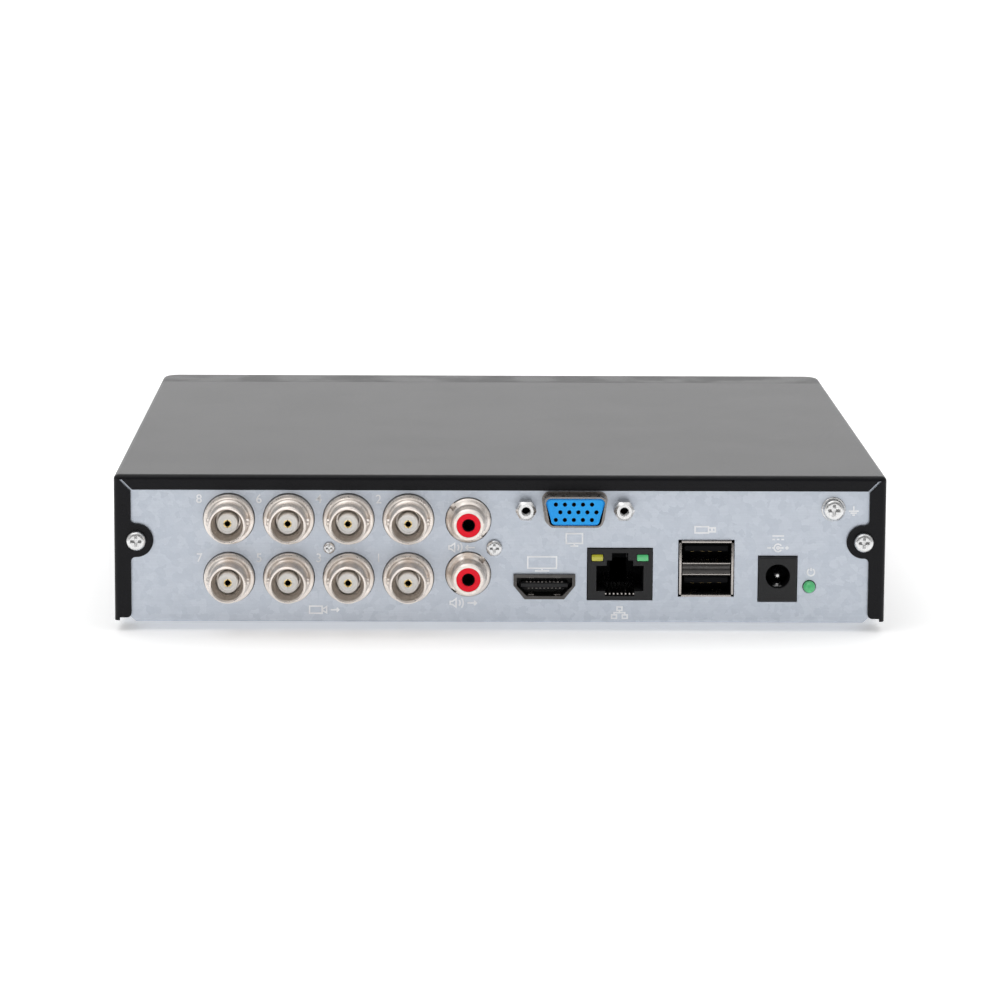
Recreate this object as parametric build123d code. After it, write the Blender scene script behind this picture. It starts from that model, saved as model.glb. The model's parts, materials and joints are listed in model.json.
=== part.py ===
from build123d import *
import math
import os

# A compact video recorder in a two-piece steel case. The plastic bezel faces -Y, the connector panel +Y,
# and the rubber feet stand on z = 0. The origin is the centre of the footprint.
# All sizes are in millimetres.

# ---------------------------------------------------------------- the case
case_width = 197.0
case_height = 38.2              # underside of the tray to the top of the cover
case_depth = 193.0              # face of the bezel to the outside of the cover's rear lips
sheet = 0.8                     # steel of the tray and the cover
cover_bend = 1.3                # outside radius of the cover's folds
slip_gap = 0.3                  # between the cover and what it slides over
seam_gap = 0.2                  # between the cover's front edge and the bezel
foot_height = 2.3
foot_radius = 5.0
foot_inset = 22.0               # centre of a foot from the case's sides
foot_inset_y = 26.0             # centre of a foot from the case's ends
bezel_depth = 16.0
bezel_wall = 2.0
bezel_corner = 5.0              # upright front corners

# ---------------------------------------------------------------- the cover's rear lips
side_lip = 4.3                  # width of the lips folded in along the sides
top_lip = 3.9                   # height of the lip folded down along the top
lip_lift = 1.2                  # side lips stop this far above the tray's underside
lip_corner = 1.2                # rounding of the side lips' lower corners
corner_notch = 9.0              # depth of the slanted notch in the tray's rear corners
cover_lift = 0.45               # cover's lower edge above the tray's underside
mitre_gap = 0.6                 # slit where the top lip meets a side lip
ear_radius = 4.3
ear_inset = 5.7                 # ear screw from the side of the case
ear_height = 21.2
ear_blend = 1.2
ear_hole = 1.7
ear_screw_radius = 2.5

# ---------------------------------------------------------------- openings in the sheet metal
slot_length, slot_width, slot_pitch, slot_count = 11.0, 2.0, 4.6, 14    # slots in each side of the cover
slot_row_height, slot_row_pitch = 11.0, 15.0
slots_from_front = 26.0
floor_slot_length, floor_slot_width, floor_slot_pitch = 22.0, 2.4, 5.0
tray_window_low, tray_window_high = 8.0, 31.0   # opening in the tray's front wall, above its underside
tray_flange_height = 13.0
tray_fold = 0.7                 # outside radius of the fold under the panel

# ---------------------------------------------------------------- the bezel's window and its board
window_inset = 14.5             # window from the side of the case
window_width, window_height, window_rise = 38.0, 4.6, 21.0
window_margin = 4.0             # tray's opening beyond each side of the window
front_board_inset = 7.6         # front board behind the face of the bezel
front_board_thickness = 1.2
front_lamps, front_lamp_pitch = 3, 9.0
pin_drop = 7.2                  # board pins below the window's middle
clip_spots = (-60.0, 0.0, 60.0)
clip_width, clip_drop = 10.0, 5.75

# ---------------------------------------------------------------- screws
screw_shank = 1.45              # cover screws and ground screw
fixing_shank = 1.0              # connector screws
disk_screw_shank = 1.7
shank_gap = 0.1                 # screw to the edge of its hole
standoff_radius, standoff_bore = 2.6, 1.3

# ---------------------------------------------------------------- the connector panel
# Heights are from the tray's underside.
bnc_pitch = 15.24
bnc_first_x = 23.5              # column of channels 1 and 2
bnc_low_height = 11.55
bnc_columns = 4
bnc_reach = 10.9                # rim of the barrel from the face of the panel
bnc_spacing = 1.17              # half of the gap between two sockets' shoulders
audio_x = 8.2
audio_low_height = 12.55
audio_pitch = 14.0
monitor_x, monitor_height = -18.9, 29.6
monitor_shell = (16.4, 13.8, 7.9)   # width above, width below and height of the D-shaped shell
post_pitch = 24.99              # between the two screw posts of the monitor socket
post_hole = 1.6
digital_x, digital_height = -11.3, 9.4
digital_width, digital_tall = 14.9, 5.5
network_x = -30.6
network_width, network_height = 16.5, 13.3
data_x = -52.7
data_width, data_height = 15.2, 15.6
data_foot = 0.4                 # data socket's flange above the board
power_x = -71.0
power_rise = 11.5               # middle of the power inlet's face above the tray's underside
power_width, power_height = 9.8, 11.7
power_hole_lift = 0.8           # its round hole sits above the middle of the face
light_x, light_height, light_radius = -79.15, 9.5, 1.55
ground_x, ground_height = -85.0, 29.6
audio_shoulder = 5.7
hole_gap = 0.2                  # connector to the edge of its hole in the panel
fixing_heads = (1.5, 2.1)       # head radii of the connector screws
fixing_column = 1.3255          # first screw from the first column, in pitches of the camera sockets
fixing_row = 0.5085             # and from the lower row
second_fixing = (1.55, 19.4)    # x and height of the screw beside the audio sockets

# ---------------------------------------------------------------- the main board
board_top = 6.0                 # top of the board above the tray's underside
board_thickness = 1.6
board_depth = 67.0              # of the strip behind the connectors
board_wing = 22.0               # width of the strip beside the disk
board_edge_gap = 1.4            # board to the inside of the panel and walls
block_gap = 1.1                 # face of a connector's block to the inside of the panel
block_spacing = 0.3             # half of the gap between two blocks

# ---------------------------------------------------------------- the disk drive
disk_length, disk_width, disk_height = 147.0, 101.6, 26.1
disk_lift = 2.0                 # height of the pressed pads that the disk stands on
disk_side_gap = 2.0             # to the tray's side flange
disk_front_gap = 1.0            # to the tray's front wall
disk_wall = 2.6
disk_lid_thickness = 1.0
platter_gap = 0.7               # platters' rim to the drive's wall
platter_thickness = 1.27
platter_bore = 12.5
platter_heights = (11.0, 15.0)  # undersides above the drive's base
spindle_inset = 50.8            # spindle from the end away from the sockets
pivot_margin = 8.6              # arm pivot from the platters' rim
pivot_bearing = 31.1            # its direction from the spindle, in degrees from the drive's length
arm_shortfall = 4.1             # heads stop this far short of the spindle's axis
parked_radius = 18.0            # heads from the spindle's axis when parked
head_clearance = 0.3
hub_radius = 12.3
post_radius, spindle_radius = 3.0, 2.5
cavity_floor = 7.0              # inside of the drive's base above its underside
magnet_inset = 23.3             # half the drive's width, less the magnets' reach from the arm's pivot
shaft_clearance = 0.05
disk_pad_along = (-56.0, 46.0)  # pads from the drive's middle, along it
disk_pad_inset = 8.5            # and from its long sides
pad_radius = 6.5

# ---------------------------------------------------------------- cables, and the board's larger parts
plug_length, plug_height = 13.5, 5.4
plug_rise = 3.6                 # middle of the disk's plugs above the drive's underside
data_plug_offset, power_plug_offset = 49.3, 31.3    # plugs from the drive's front side
socket_inset = 10.6             # upright sockets from the tray's side flange
socket_height = 7.0
cable_run = 19.5                # cables leave the disk this far before they turn up
loop_height = 27.0              # middle line of the loops above the tray's underside
front_cable_inset = 6.8         # front cable from the inner edge of the board's side strip
heat_x, heat_y, heat_side, heat_height = 14.0, 45.0, 30.0, 12.0
battery_x, battery_y, battery_radius = 62.0, 36.0, 10.0

# ---------------------------------------------------------------- places that follow from those
overall_depth = case_depth + bnc_reach - sheet
front_y = -overall_depth / 2
lip_y = front_y + case_depth            # outside of the cover's lips
panel_y = lip_y - sheet                 # outside of the connector panel
panel_inner_y = panel_y - sheet
bezel_back_y = front_y + bezel_depth
cover_front_y = bezel_back_y + seam_gap
wall_y = bezel_back_y + 0.6             # outside of the tray's front wall
base_z = foot_height                    # underside of the tray
top_z = base_z + case_height
floor_z = base_z + sheet
half_width = case_width / 2
tray_half = half_width - sheet - slip_gap
flange_inner = tray_half - sheet
board_z = base_z + board_top
block_y = panel_inner_y - block_gap     # front faces of the connector blocks
board_rear_y = panel_inner_y - board_edge_gap
board_front_y = board_rear_y - board_depth
wing_inner_x = -flange_inner + board_edge_gap + board_wing
disk_z = floor_z + disk_lift
disk_x1 = flange_inner - disk_side_gap
disk_x0 = disk_x1 - disk_length
disk_y0 = wall_y + sheet + disk_front_gap
disk_y1 = disk_y0 + disk_width
disk_mid_x, disk_mid_y = (disk_x0 + disk_x1) / 2, (disk_y0 + disk_y1) / 2
spindle_x, spindle_y = disk_x1 - spindle_inset, disk_mid_y
platter_radius = disk_width / 2 - disk_wall - platter_gap
pivot_distance = platter_radius + pivot_margin
arm_length = pivot_distance - arm_shortfall
pivot_x = spindle_x - pivot_distance * math.cos(math.radians(pivot_bearing))
pivot_y = spindle_y - pivot_distance * math.sin(math.radians(pivot_bearing))
magnet_reach = disk_width / 2 - magnet_inset
disk_pads = [(disk_mid_x + x, disk_mid_y + side * (disk_width / 2 - disk_pad_inset)) for x in disk_pad_along
             for side in (-1, 1)]
lid_screw_spots = [(disk_mid_x + x * (disk_length / 2 - 5.0), disk_mid_y + y * (disk_width / 2 - inset))
                   for x, inset in ((-1, 4.8), (0, 3.2), (1, 5.3)) for y in (-1, 1)]
ear_x = half_width - ear_inset
bnc_shoulder = bnc_pitch / 2 - bnc_spacing
bnc_spots = [(bnc_first_x + bnc_pitch * (i // 2), base_z + bnc_low_height + bnc_pitch * (i % 2))
             for i in range(2 * bnc_columns)]
audio_spots = [(audio_x, base_z + audio_low_height + audio_pitch * i) for i in (1, 0)]
monitor_z = base_z + monitor_height
post_spots = [(monitor_x + side * post_pitch / 2, monitor_z) for side in (-1, 1)]
digital_z = base_z + digital_height
network_z = board_z + network_height / 2
data_z = board_z + data_foot + data_height / 2
power_z = base_z + power_rise
first_fixing = (bnc_first_x + bnc_pitch * fixing_column, bnc_low_height + bnc_pitch * fixing_row)
fixings = [(x, height, head) for (x, height), head in zip((first_fixing, second_fixing), fixing_heads)]
board_fixings = ((flange_inner - 5.5, board_rear_y - 24.0), (flange_inner - 5.5, board_front_y + 4.5),
                 (-2.0, board_front_y + 4.5), (-flange_inner + 6.0, board_rear_y - 24.0),
                 (-flange_inner + 6.0, board_front_y + 4.5), (-flange_inner + 6.0, disk_y0 + 4.5))
lens_x0 = window_inset - half_width
lens_x1 = lens_x0 + window_width
lens_z = base_z + window_rise
front_board_y = front_y + front_board_inset
pin_spots = (lens_x0 + 14.0, lens_x1 - 2.5)
socket_x = socket_inset - flange_inner
cable_rise_x = disk_x0 - cable_run
data_plug_y, power_plug_y = disk_y0 + data_plug_offset, disk_y0 + power_plug_offset
plug_z = disk_z + plug_rise
loop_top = base_z + loop_height
socket_top = board_z + socket_height

made = {}


# ================================================================ small helpers
def block(x0, x1, y0, y1, z0, z1):
    """A box between two corners."""
    return Pos((x0 + x1) / 2, (y0 + y1) / 2, (z0 + z1) / 2) * Box(abs(x1 - x0), abs(y1 - y0), abs(z1 - z0))


def round_block(x0, x1, y0, y1, z0, z1, radius):
    """A box with its upright edges rounded."""
    return fillet(block(x0, x1, y0, y1, z0, z1).edges().filter_by(Axis.Z), radius)


def rod_y(radius, x, z, y0, y1):
    """A round bar along Y from y0 to y1."""
    return Pos(x, (y0 + y1) / 2, z) * Rot(90, 0, 0) * Cylinder(radius, abs(y1 - y0))


def rod_z(radius, x, y, z0, z1):
    """A round bar along Z from z0 to z1."""
    return Pos(x, y, (z0 + z1) / 2) * Cylinder(radius, abs(z1 - z0))


def turned(x, z, outline):
    """A shape turned about an axis along +Y through (x, z). The outline is (radius, distance from the panel)."""
    face = Plane.XY * make_face(Polyline(*outline, close=True))
    return Pos(x, panel_y, z) * revolve(face, Axis.Y)


def panel_prism(points, x, z, y0, y1, radius=0.0):
    """A bar along Y whose section is a polygon about (x, z), seen from behind with x to the left."""
    section = make_face(Polyline(*points, close=True))
    if radius:
        section = fillet(section.vertices(), radius)
    plane = Plane(origin=(x, y0, z), x_dir=(-1, 0, 0), z_dir=(0, 1, 0))
    return extrude(plane * section, y1 - y0)


def cross_recess(reach, width, depth):
    """The cross-shaped hollow of a screw's head, centred on the top of the head, which faces +Z."""
    bar = Box(2 * reach, width, 2 * depth) + Box(width, 2 * reach, 2 * depth)
    return bar & Cone(0.35 * reach, 1.5 * reach, 2 * depth)


def pan_screw(head_radius, head_height, shank_radius, shank_length):
    """A pan-head screw standing on z = 0 with its shank below and its recessed head above."""
    head = Pos(0, 0, head_height / 2) * Cylinder(head_radius, head_height)
    head = fillet(head.edges().group_by(Axis.Z)[-1], 0.55 * head_height)
    shank = Pos(0, 0, -shank_length / 2) * Cylinder(shank_radius, shank_length)
    shank = chamfer(shank.edges().group_by(Axis.Z)[0], 0.3 * shank_radius)
    recess = Pos(0, 0, head_height) * cross_recess(0.62 * head_radius, 0.3 * head_radius, 0.62 * head_height)
    return head + shank - recess


def facing_back(part, x, y, z):
    """Turns a piece that points up so that it points out of the back."""
    return Pos(x, y, z) * Rot(-90, 0, 0) * part


def keep(name, *pieces):
    """Files the finished pieces under the name of their node."""
    made[name] = Compound(children=[solid for piece in pieces for solid in piece.solids()])


# ================================================================ sheet metal
def lip_opening():
    """The part of the cover's back that the lips leave open: everything but the lips, ears and folds."""
    x1, z0, z1 = half_width - side_lip, base_z - 5, top_z - top_lip
    opening = block(-x1, x1, panel_y - 1, lip_y + 1, z0, z1)
    for side in (-1, 1):
        ear_reach = block(side * (x1 - 2 * ear_radius), side * (x1 + 1), panel_y - 1, lip_y + 1,
                          base_z + ear_height - 2 * ear_radius, base_z + ear_height + 2 * ear_radius)
        ear = rod_y(ear_radius, side * ear_x, base_z + ear_height, panel_y - 2, lip_y + 2)
        side_bar = block(side * x1, side * (x1 + 3), panel_y - 2, lip_y + 2, base_z - 5, top_z)
        outline = (ear + side_bar).edges().filter_by(Axis.Y)
        corners = [e for e in outline if abs(abs(e.center().X) - x1) < 0.01
                   and abs(e.center().Z - base_z - ear_height) < 1.5 * ear_radius]
        opening -= fillet(corners, ear_blend) & (ear_reach + side_bar)
    return opening


def mitre_slit(side):
    """The slit at 45 degrees between the top lip and a side lip."""
    corner_x, corner_z = side * (half_width - side_lip), top_z - top_lip
    slit = Box(2 * top_lip + 2, 4 * sheet, mitre_gap)
    middle = Pos(corner_x + side * top_lip * 0.2, lip_y - sheet / 2, corner_z + top_lip * 0.2)
    return middle * Rot(0, -side * 45, 0) * slit & block(
        corner_x - side * 0.5, side * (half_width - cover_bend), panel_y - 0.01, lip_y + 1,
        corner_z - 0.5, top_z - cover_bend)


def side_vents():
    """Two rows of upright slots in each side of the cover."""
    slot = Rot(0, 90, 0) * extrude(SlotOverall(slot_length, slot_width), case_width, both=True)
    cuts = []
    for row in (0, 1):
        z = base_z + slot_row_height + row * slot_row_pitch
        cuts += [Pos(0, cover_front_y + slots_from_front + i * slot_pitch, z) * slot
                 for i in range(slot_count)]
    return cuts


def top_cover():
    outer = block(-half_width, half_width, cover_front_y - 10, lip_y, base_z - 10, top_z)
    folds = outer.edges().filter_by(Axis.Y).group_by(Axis.Z)[-1] + outer.edges().filter_by(Axis.X).sort_by(
        lambda e: e.center().Y + e.center().Z)[-1:] + outer.edges().filter_by(Axis.Z).group_by(Axis.Y)[-1]
    outer = fillet(folds, cover_bend)
    inner = block(-half_width + sheet, half_width - sheet, cover_front_y - 11, panel_y, base_z - 11,
                  top_z - sheet)
    inner_folds = inner.edges().filter_by(Axis.Y).group_by(Axis.Z)[-1]
    shell = outer - fillet(inner_folds, cover_bend - sheet)
    shell -= block(-case_width, case_width, cover_front_y - 20, cover_front_y, 0, 2 * top_z)
    shell -= block(-case_width, case_width, cover_front_y - 20, panel_y, base_z - 20, base_z + cover_lift)
    shell -= block(-case_width, case_width, panel_y, lip_y + 5, base_z - 20, base_z + cover_lift)
    for side in (-1, 1):
        shell -= block(side * (half_width - side_lip - 5), side * (half_width - cover_bend),
                       panel_y, lip_y + 1, base_z - 20, base_z + lip_lift)
        shell -= mitre_slit(side)
    shell -= lip_opening()
    for side in (-1, 1):
        shell -= rod_y(ear_hole, side * ear_x, base_z + ear_height, panel_y - 1, lip_y + 1)
    shell -= side_vents()
    lip_ends = [e for e in shell.edges().filter_by(Axis.Y) if abs(e.center().Z - base_z - lip_lift) < 0.01
                and abs(abs(e.center().X) - half_width + side_lip) < 0.01]
    keep("top_cover", fillet(lip_ends, lip_corner))
    screw = pan_screw(ear_screw_radius, 1.9, screw_shank, sheet + 4.2)
    keep("cover_screws", *[facing_back(screw, side * ear_x, lip_y, base_z + ear_height) for side in (-1, 1)])


def d_outline(top_width, bottom_width, height):
    """The D-shaped outline of the monitor socket, wide side up."""
    a, b, h = top_width / 2, bottom_width / 2, height / 2
    return [(-a, h), (a, h), (b, -h), (-b, -h)]


def digital_outline(width, height, grow=0.0):
    """The outline of the digital video socket: wide above, with its lower corners cut off on the slant."""
    a, h = width / 2 + grow, height / 2 + grow
    shoulder, foot = 0.1 * h, 0.64 * a
    return [(-a, h), (a, h), (a, shoulder), (foot, -h), (-foot, -h), (-a, shoulder)]


def panel_cuts():
    """The holes of the connector panel."""
    y0, y1 = panel_inner_y - 3, panel_y + 1
    cuts = [rod_y(bnc_shoulder + hole_gap, x, z, y0, y1) for x, z in bnc_spots]
    cuts += [rod_y(audio_shoulder + hole_gap, x, z, y0, y1) for x, z in audio_spots]
    cuts += [rod_y(post_hole, x, z, y0, y1) for x, z in post_spots]
    cuts += [panel_prism(d_outline(*(size + 2 * hole_gap for size in monitor_shell)), monitor_x, monitor_z,
                         y0, y1, 1.8)]
    cuts += [panel_prism(digital_outline(digital_width, digital_tall, hole_gap), digital_x, digital_z, y0,
                         y1)]
    for x, z, w, h in ((network_x, network_z, network_width, network_height),
                       (data_x, data_z, data_width - 1.2, data_height - 1.2),
                       (power_x, power_z, power_width, power_height)):
        cuts.append(block(x - w / 2 - hole_gap, x + w / 2 + hole_gap, y0, y1,
                          z - h / 2 - hole_gap, z + h / 2 + hole_gap))
    cuts.append(rod_y(light_radius + hole_gap, light_x, base_z + light_height, y0, y1))
    cuts += [rod_y(fixing_shank + shank_gap, x, base_z + h, y0, y1) for x, h, _ in fixings]
    cuts.append(rod_y(screw_shank + shank_gap, ground_x, base_z + ground_height, y0, y1))
    cuts += [rod_y(screw_shank + shank_gap, side * ear_x, base_z + ear_height, y0, y1) for side in (-1, 1)]
    return cuts


def floor_vents():
    """Rows of slots in the tray's floor, under the board and under the disk."""
    slot = Rot(0, 0, 90) * extrude(SlotOverall(floor_slot_length, floor_slot_width), 5 * sheet, both=True)
    slots = []
    for centre_x, centre_y, count in ((-50.0, board_front_y + 24.0, 7), (58.0, board_front_y + 24.0, 7),
                                      (disk_mid_x - 10.0, disk_mid_y, 9)):
        for i in range(count):
            x = centre_x + (i - (count - 1) / 2) * floor_slot_pitch
            slots.append(Pos(x, centre_y, floor_z) * slot)
    return slots


def base_tray():
    wall_height = case_height - sheet - slip_gap
    relief = tray_half - (half_width - side_lip - 1.2)
    floor = block(-tray_half, tray_half, wall_y, panel_y, base_z, floor_z)
    panel = block(-tray_half, tray_half, panel_inner_y, panel_y, base_z, base_z + wall_height)
    front = block(-tray_half, tray_half, wall_y, wall_y + sheet, base_z, base_z + wall_height)
    flanges = [block(side * flange_inner, side * tray_half, wall_y + 2.0, panel_inner_y - corner_notch,
                     base_z, base_z + tray_flange_height) for side in (-1, 1)]
    tray = floor + panel + front + flanges
    back_fold = tray.edges().filter_by(Axis.X).sort_by(lambda e: e.center().Y - e.center().Z)[-1]
    tray = fillet(back_fold, tray_fold)
    for side in (-1, 1):
        corner = make_face(Polyline((side * (tray_half - relief), base_z - 1),
                                    (side * (tray_half + 2), base_z - 1),
                                    (side * (tray_half + 2), base_z + relief + 1.5),
                                    (side * (tray_half - relief - 0.5), base_z - 0.5), close=True))
        notch = Plane(origin=(0, panel_inner_y - corner_notch, 0), x_dir=(1, 0, 0),
                      z_dir=(0, -1, 0)) * corner
        tray -= extrude(notch, -(corner_notch + sheet + 3))
    tray -= panel_cuts()
    tray -= floor_vents()
    tray -= block(lens_x0 - window_margin, lens_x1 + window_margin + 2.0, wall_y - 1, wall_y + 2,
                  base_z + tray_window_low, base_z + tray_window_high)
    clip_low, clip_high = base_z + wall_height - 7.5, base_z + wall_height - 4.0
    half_clip = clip_width / 2 + 1
    tray -= [block(x - half_clip, x + half_clip, wall_y - 1, wall_y + 2, clip_low, clip_high)
             for x in clip_spots]
    for x, y in disk_pads:
        tray += rod_z(pad_radius, x, y, base_z, disk_z)
        tray -= rod_z(pad_radius - sheet, x, y, base_z - 1, disk_z - sheet)
        tray -= rod_z(disk_screw_shank + 0.2, x, y, base_z, disk_z + 1)
    tray -= [rod_z(standoff_bore, x, y, base_z - 1, floor_z + 1) for x, y in board_fixings]
    keep("base_tray", tray)


def standing_screws():
    """Screws in the panel's face, apart from the two that hold the cover."""
    heads = []
    for x, height, radius in fixings:
        screw = pan_screw(radius, 0.55 * radius + 0.3, fixing_shank, sheet + block_gap + 4.0)
        heads.append(facing_back(screw, x, panel_y, base_z + height))
    keep("connector_screws", *heads)
    washer = Cylinder(3.1, 0.6) - Cylinder(screw_shank + 0.05, 2)
    washer = Pos(0, 0, 0.3) * chamfer(washer.edges().group_by(Axis.Z)[-1], 0.15)
    screw = Pos(0, 0, 0.6) * pan_screw(2.75, 1.9, screw_shank, sheet + 4.5)
    nut = Pos(0, 0, -sheet - 1.2) * (extrude(RegularPolygon(3.1, 6), 1.2, both=True)
                                     - Cylinder(screw_shank + 0.05, 5))
    keep("ground_screw",
         *[facing_back(p, ground_x, panel_y, base_z + ground_height) for p in (screw, washer, nut)])


def rubber_feet():
    foot = Pos(0, 0, foot_height / 2) * Cylinder(foot_radius, foot_height)
    foot = fillet(foot.edges().group_by(Axis.Z)[0], 0.8)
    spots = [(side * (half_width - foot_inset), y) for side in (-1, 1)
             for y in (front_y + foot_inset_y, lip_y - foot_inset_y)]
    keep("rubber_feet", *[Pos(x, y, 0) * foot for x, y in spots])


# ================================================================ the front
def front_bezel():
    z0 = base_z
    outer = block(-half_width, half_width, front_y, bezel_back_y, z0, top_z)
    uprights = outer.edges().filter_by(Axis.Z).group_by(Axis.Y)[0]
    outer = fillet(uprights, bezel_corner)
    rims = [e for face in (outer.faces().sort_by(Axis.Z)[0], outer.faces().sort_by(Axis.Z)[-1])
            for e in face.edges() if e.center().Y < bezel_back_y - 0.01]
    outer = fillet(rims, cover_bend)
    inner = block(-half_width + bezel_wall, half_width - bezel_wall, front_y + bezel_wall, bezel_back_y + 1,
                  z0 + bezel_wall, top_z - bezel_wall)
    inner = fillet(inner.edges().filter_by(Axis.Z).group_by(Axis.Y)[0], 3.2)
    bezel = outer - inner
    rim_out, rim_in = sheet + slip_gap, sheet + slip_gap + 1.3
    rim = block(-half_width + rim_out, half_width - rim_out, bezel_back_y - 2, bezel_back_y + 0.5,
                z0 + rim_out, top_z - rim_out)
    rim -= block(-half_width + rim_in, half_width - rim_in, bezel_back_y - 3, bezel_back_y + 1,
                 z0 + rim_in, top_z - rim_in)
    bezel += rim
    groove_height, groove_width, groove_depth = 9.0, 0.9, 0.7
    bezel -= block(-half_width - 1, half_width + 1, front_y - 1, front_y + groove_depth,
                   z0 + groove_height, z0 + groove_height + groove_width)
    hole = block(lens_x0, lens_x1, front_y - 1, front_y + 5, lens_z - window_height / 2,
                 lens_z + window_height / 2)
    bezel -= fillet(hole.edges().filter_by(Axis.Y), 1.2)
    for x in pin_spots:
        bezel += rod_y(2.2, x, lens_z - pin_drop, front_y + bezel_wall, front_board_y)
        bezel += rod_y(1.1, x, lens_z - pin_drop, front_y + bezel_wall,
                       front_board_y + front_board_thickness + 0.8)
    arm_z = z0 + case_height - sheet - slip_gap - clip_drop
    half_clip, half_arm, hook = clip_width / 2, 0.75, 1.6
    hook_y = wall_y + sheet + 0.2
    for x in clip_spots:
        bezel += block(x - half_clip, x + half_clip, front_y + bezel_wall - 0.5, hook_y + 2.2,
                       arm_z - half_arm, arm_z + half_arm)
        bezel += block(x - half_clip, x + half_clip, hook_y, hook_y + 1.4, arm_z - hook, arm_z + half_arm)
    keep("front_bezel", bezel)
    lens = block(lens_x0 + 0.1, lens_x1 - 0.1, front_y + 0.2, front_y + bezel_wall + 0.8,
                 lens_z - window_height / 2 + 0.1, lens_z + window_height / 2 - 0.1)
    lens = fillet(lens.edges().filter_by(Axis.Y), 1.1)
    lens_flange = block(lens_x0 - 1.5, lens_x1 + 1.5, front_y + bezel_wall, front_y + bezel_wall + 0.8,
                        lens_z - window_height / 2 - 1.5, lens_z + window_height / 2 + 1.5)
    keep("light_window", lens + lens_flange)


def front_board():
    y0, y1 = front_board_y, front_board_y + front_board_thickness
    board = block(lens_x0 - 2, lens_x1 + 2, y0, y1, lens_z - pin_drop - 3.0, lens_z + 4.5)
    board -= [rod_y(1.2, x, lens_z - pin_drop, y0 - 1, y1 + 1) for x in pin_spots]
    keep("front_board", board)
    lamps = []
    half_wide, half_tall, thick = 1.6, 1.1, 1.9
    for i in range(front_lamps):
        x = (lens_x0 + lens_x1) / 2 + (i - (front_lamps - 1) / 2) * front_lamp_pitch
        lamp = block(x - half_wide, x + half_wide, y0 - thick, y0, lens_z - half_tall, lens_z + half_tall)
        lamps.append(fillet(lamp.edges().group_by(Axis.Y)[0], 0.4))
    keep("front_lights", *lamps)


# ================================================================ the connectors
def bnc_jacks():
    """Eight bayonet sockets for the cameras, in pairs on four blocks."""
    lug_radius, lug_reach, lug_y = 0.95, 5.5, 5.4
    barrel, bore, cup = 4.83, 4.07, 3.0
    post, contact, hole = 2.35, 1.05, 0.82
    shells, insulators, contacts = [], [], []
    for x, z in bnc_spots:
        back = block_y - panel_y
        shell = turned(x, z, [(post + 0.05, back), (bnc_shoulder, back), (bnc_shoulder, 1.3),
                              (bnc_shoulder - 0.35, 1.65), (5.35, 1.65), (5.35, 2.7), (barrel, 3.1),
                              (barrel, bnc_reach - 0.35), (barrel - 0.35, bnc_reach),
                              (bore + 0.25, bnc_reach), (bore, bnc_reach - 0.25), (bore, cup),
                              (post + 0.05, cup)])
        lugs = Pos(x, panel_y + lug_y, z) * Rot(0, 90, 0) * Cylinder(lug_radius, 2 * lug_reach)
        lugs -= rod_y(barrel - 0.3, x, z, panel_y, panel_y + bnc_reach)
        shells.append(shell + lugs)
        insulators.append(turned(x, z, [(contact, back), (post, back), (post, 7.9), (post - 0.25, 8.15),
                                        (contact, 8.15)]))
        contacts.append(turned(x, z, [(0, back), (contact, back), (contact, 8.0), (hole, 8.0), (hole, 3.0),
                                      (0, 3.0)]))
    for column in range(bnc_columns):
        first = 2 * column
        keep(f"bnc_shells_{first + 1}_{first + 2}", *shells[first:first + 2])
    keep("bnc_insulators", *insulators)
    keep("bnc_contacts", *contacts)
    blocks = []
    for column in range(bnc_columns):
        x = bnc_first_x + column * bnc_pitch
        half = bnc_pitch / 2 - block_spacing
        body = block(x - half, x + half, block_y - 15.5, block_y, board_z,
                     base_z + bnc_low_height + bnc_pitch + 7.4)
        body = chamfer(body.edges().group_by(Axis.Z)[-1], 0.8)
        for fx, fh, _ in fixings:
            body -= rod_y(fixing_shank + 0.05, fx, base_z + fh, block_y - 4.5, block_y + 1)
        blocks.append(body)
    keep("bnc_blocks", *blocks)


def audio_jacks():
    """Two round audio sockets, one above the other on one block."""
    barrel, insert, pin_hole, reach = 4.15, 3.05, 1.65, 8.4
    back = block_y - panel_y
    inserts = []
    for name, (x, z), turn in (("audio_in_shell", audio_spots[0], -42),
                               ("audio_out_shell", audio_spots[1], 48)):
        shell = turned(x, z, [(insert + 0.05, back), (audio_shoulder, back), (audio_shoulder, 0.7),
                              (audio_shoulder - 0.3, 1.0), (4.9, 1.3), (4.35, 1.9), (barrel, 2.6),
                              (barrel, reach - 0.4), (barrel - 0.4, reach), (insert + 0.05, reach)])
        notch = Box(2 * audio_shoulder + 2, 1.5, 3.0) - Cylinder(4.7, 6)
        shell -= Pos(x, panel_y + 0.3, z) * Rot(0, turn, 0) * Rot(90, 0, 0) * notch
        keep(name, shell)
        inserts.append(turned(x, z,
                              [(pin_hole, 0.6), (pin_hole, reach - 0.25), (pin_hole + 0.2, reach - 0.05),
                                     (insert, reach - 0.05), (insert, back), (0, back), (0, 0.6)]))
    keep("audio_inserts", *inserts)
    body = block(audio_x - 6.6, audio_x + 6.6, block_y - 14.0, block_y, board_z,
                 base_z + audio_low_height + audio_pitch + 6.6)
    body = chamfer(body.edges().group_by(Axis.Z)[-1], 0.8)
    for fx, fh, _ in fixings:
        body -= rod_y(fixing_shank + 0.05, fx, base_z + fh, block_y - 4.5, block_y + 1)
    keep("audio_block", body)


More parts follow.
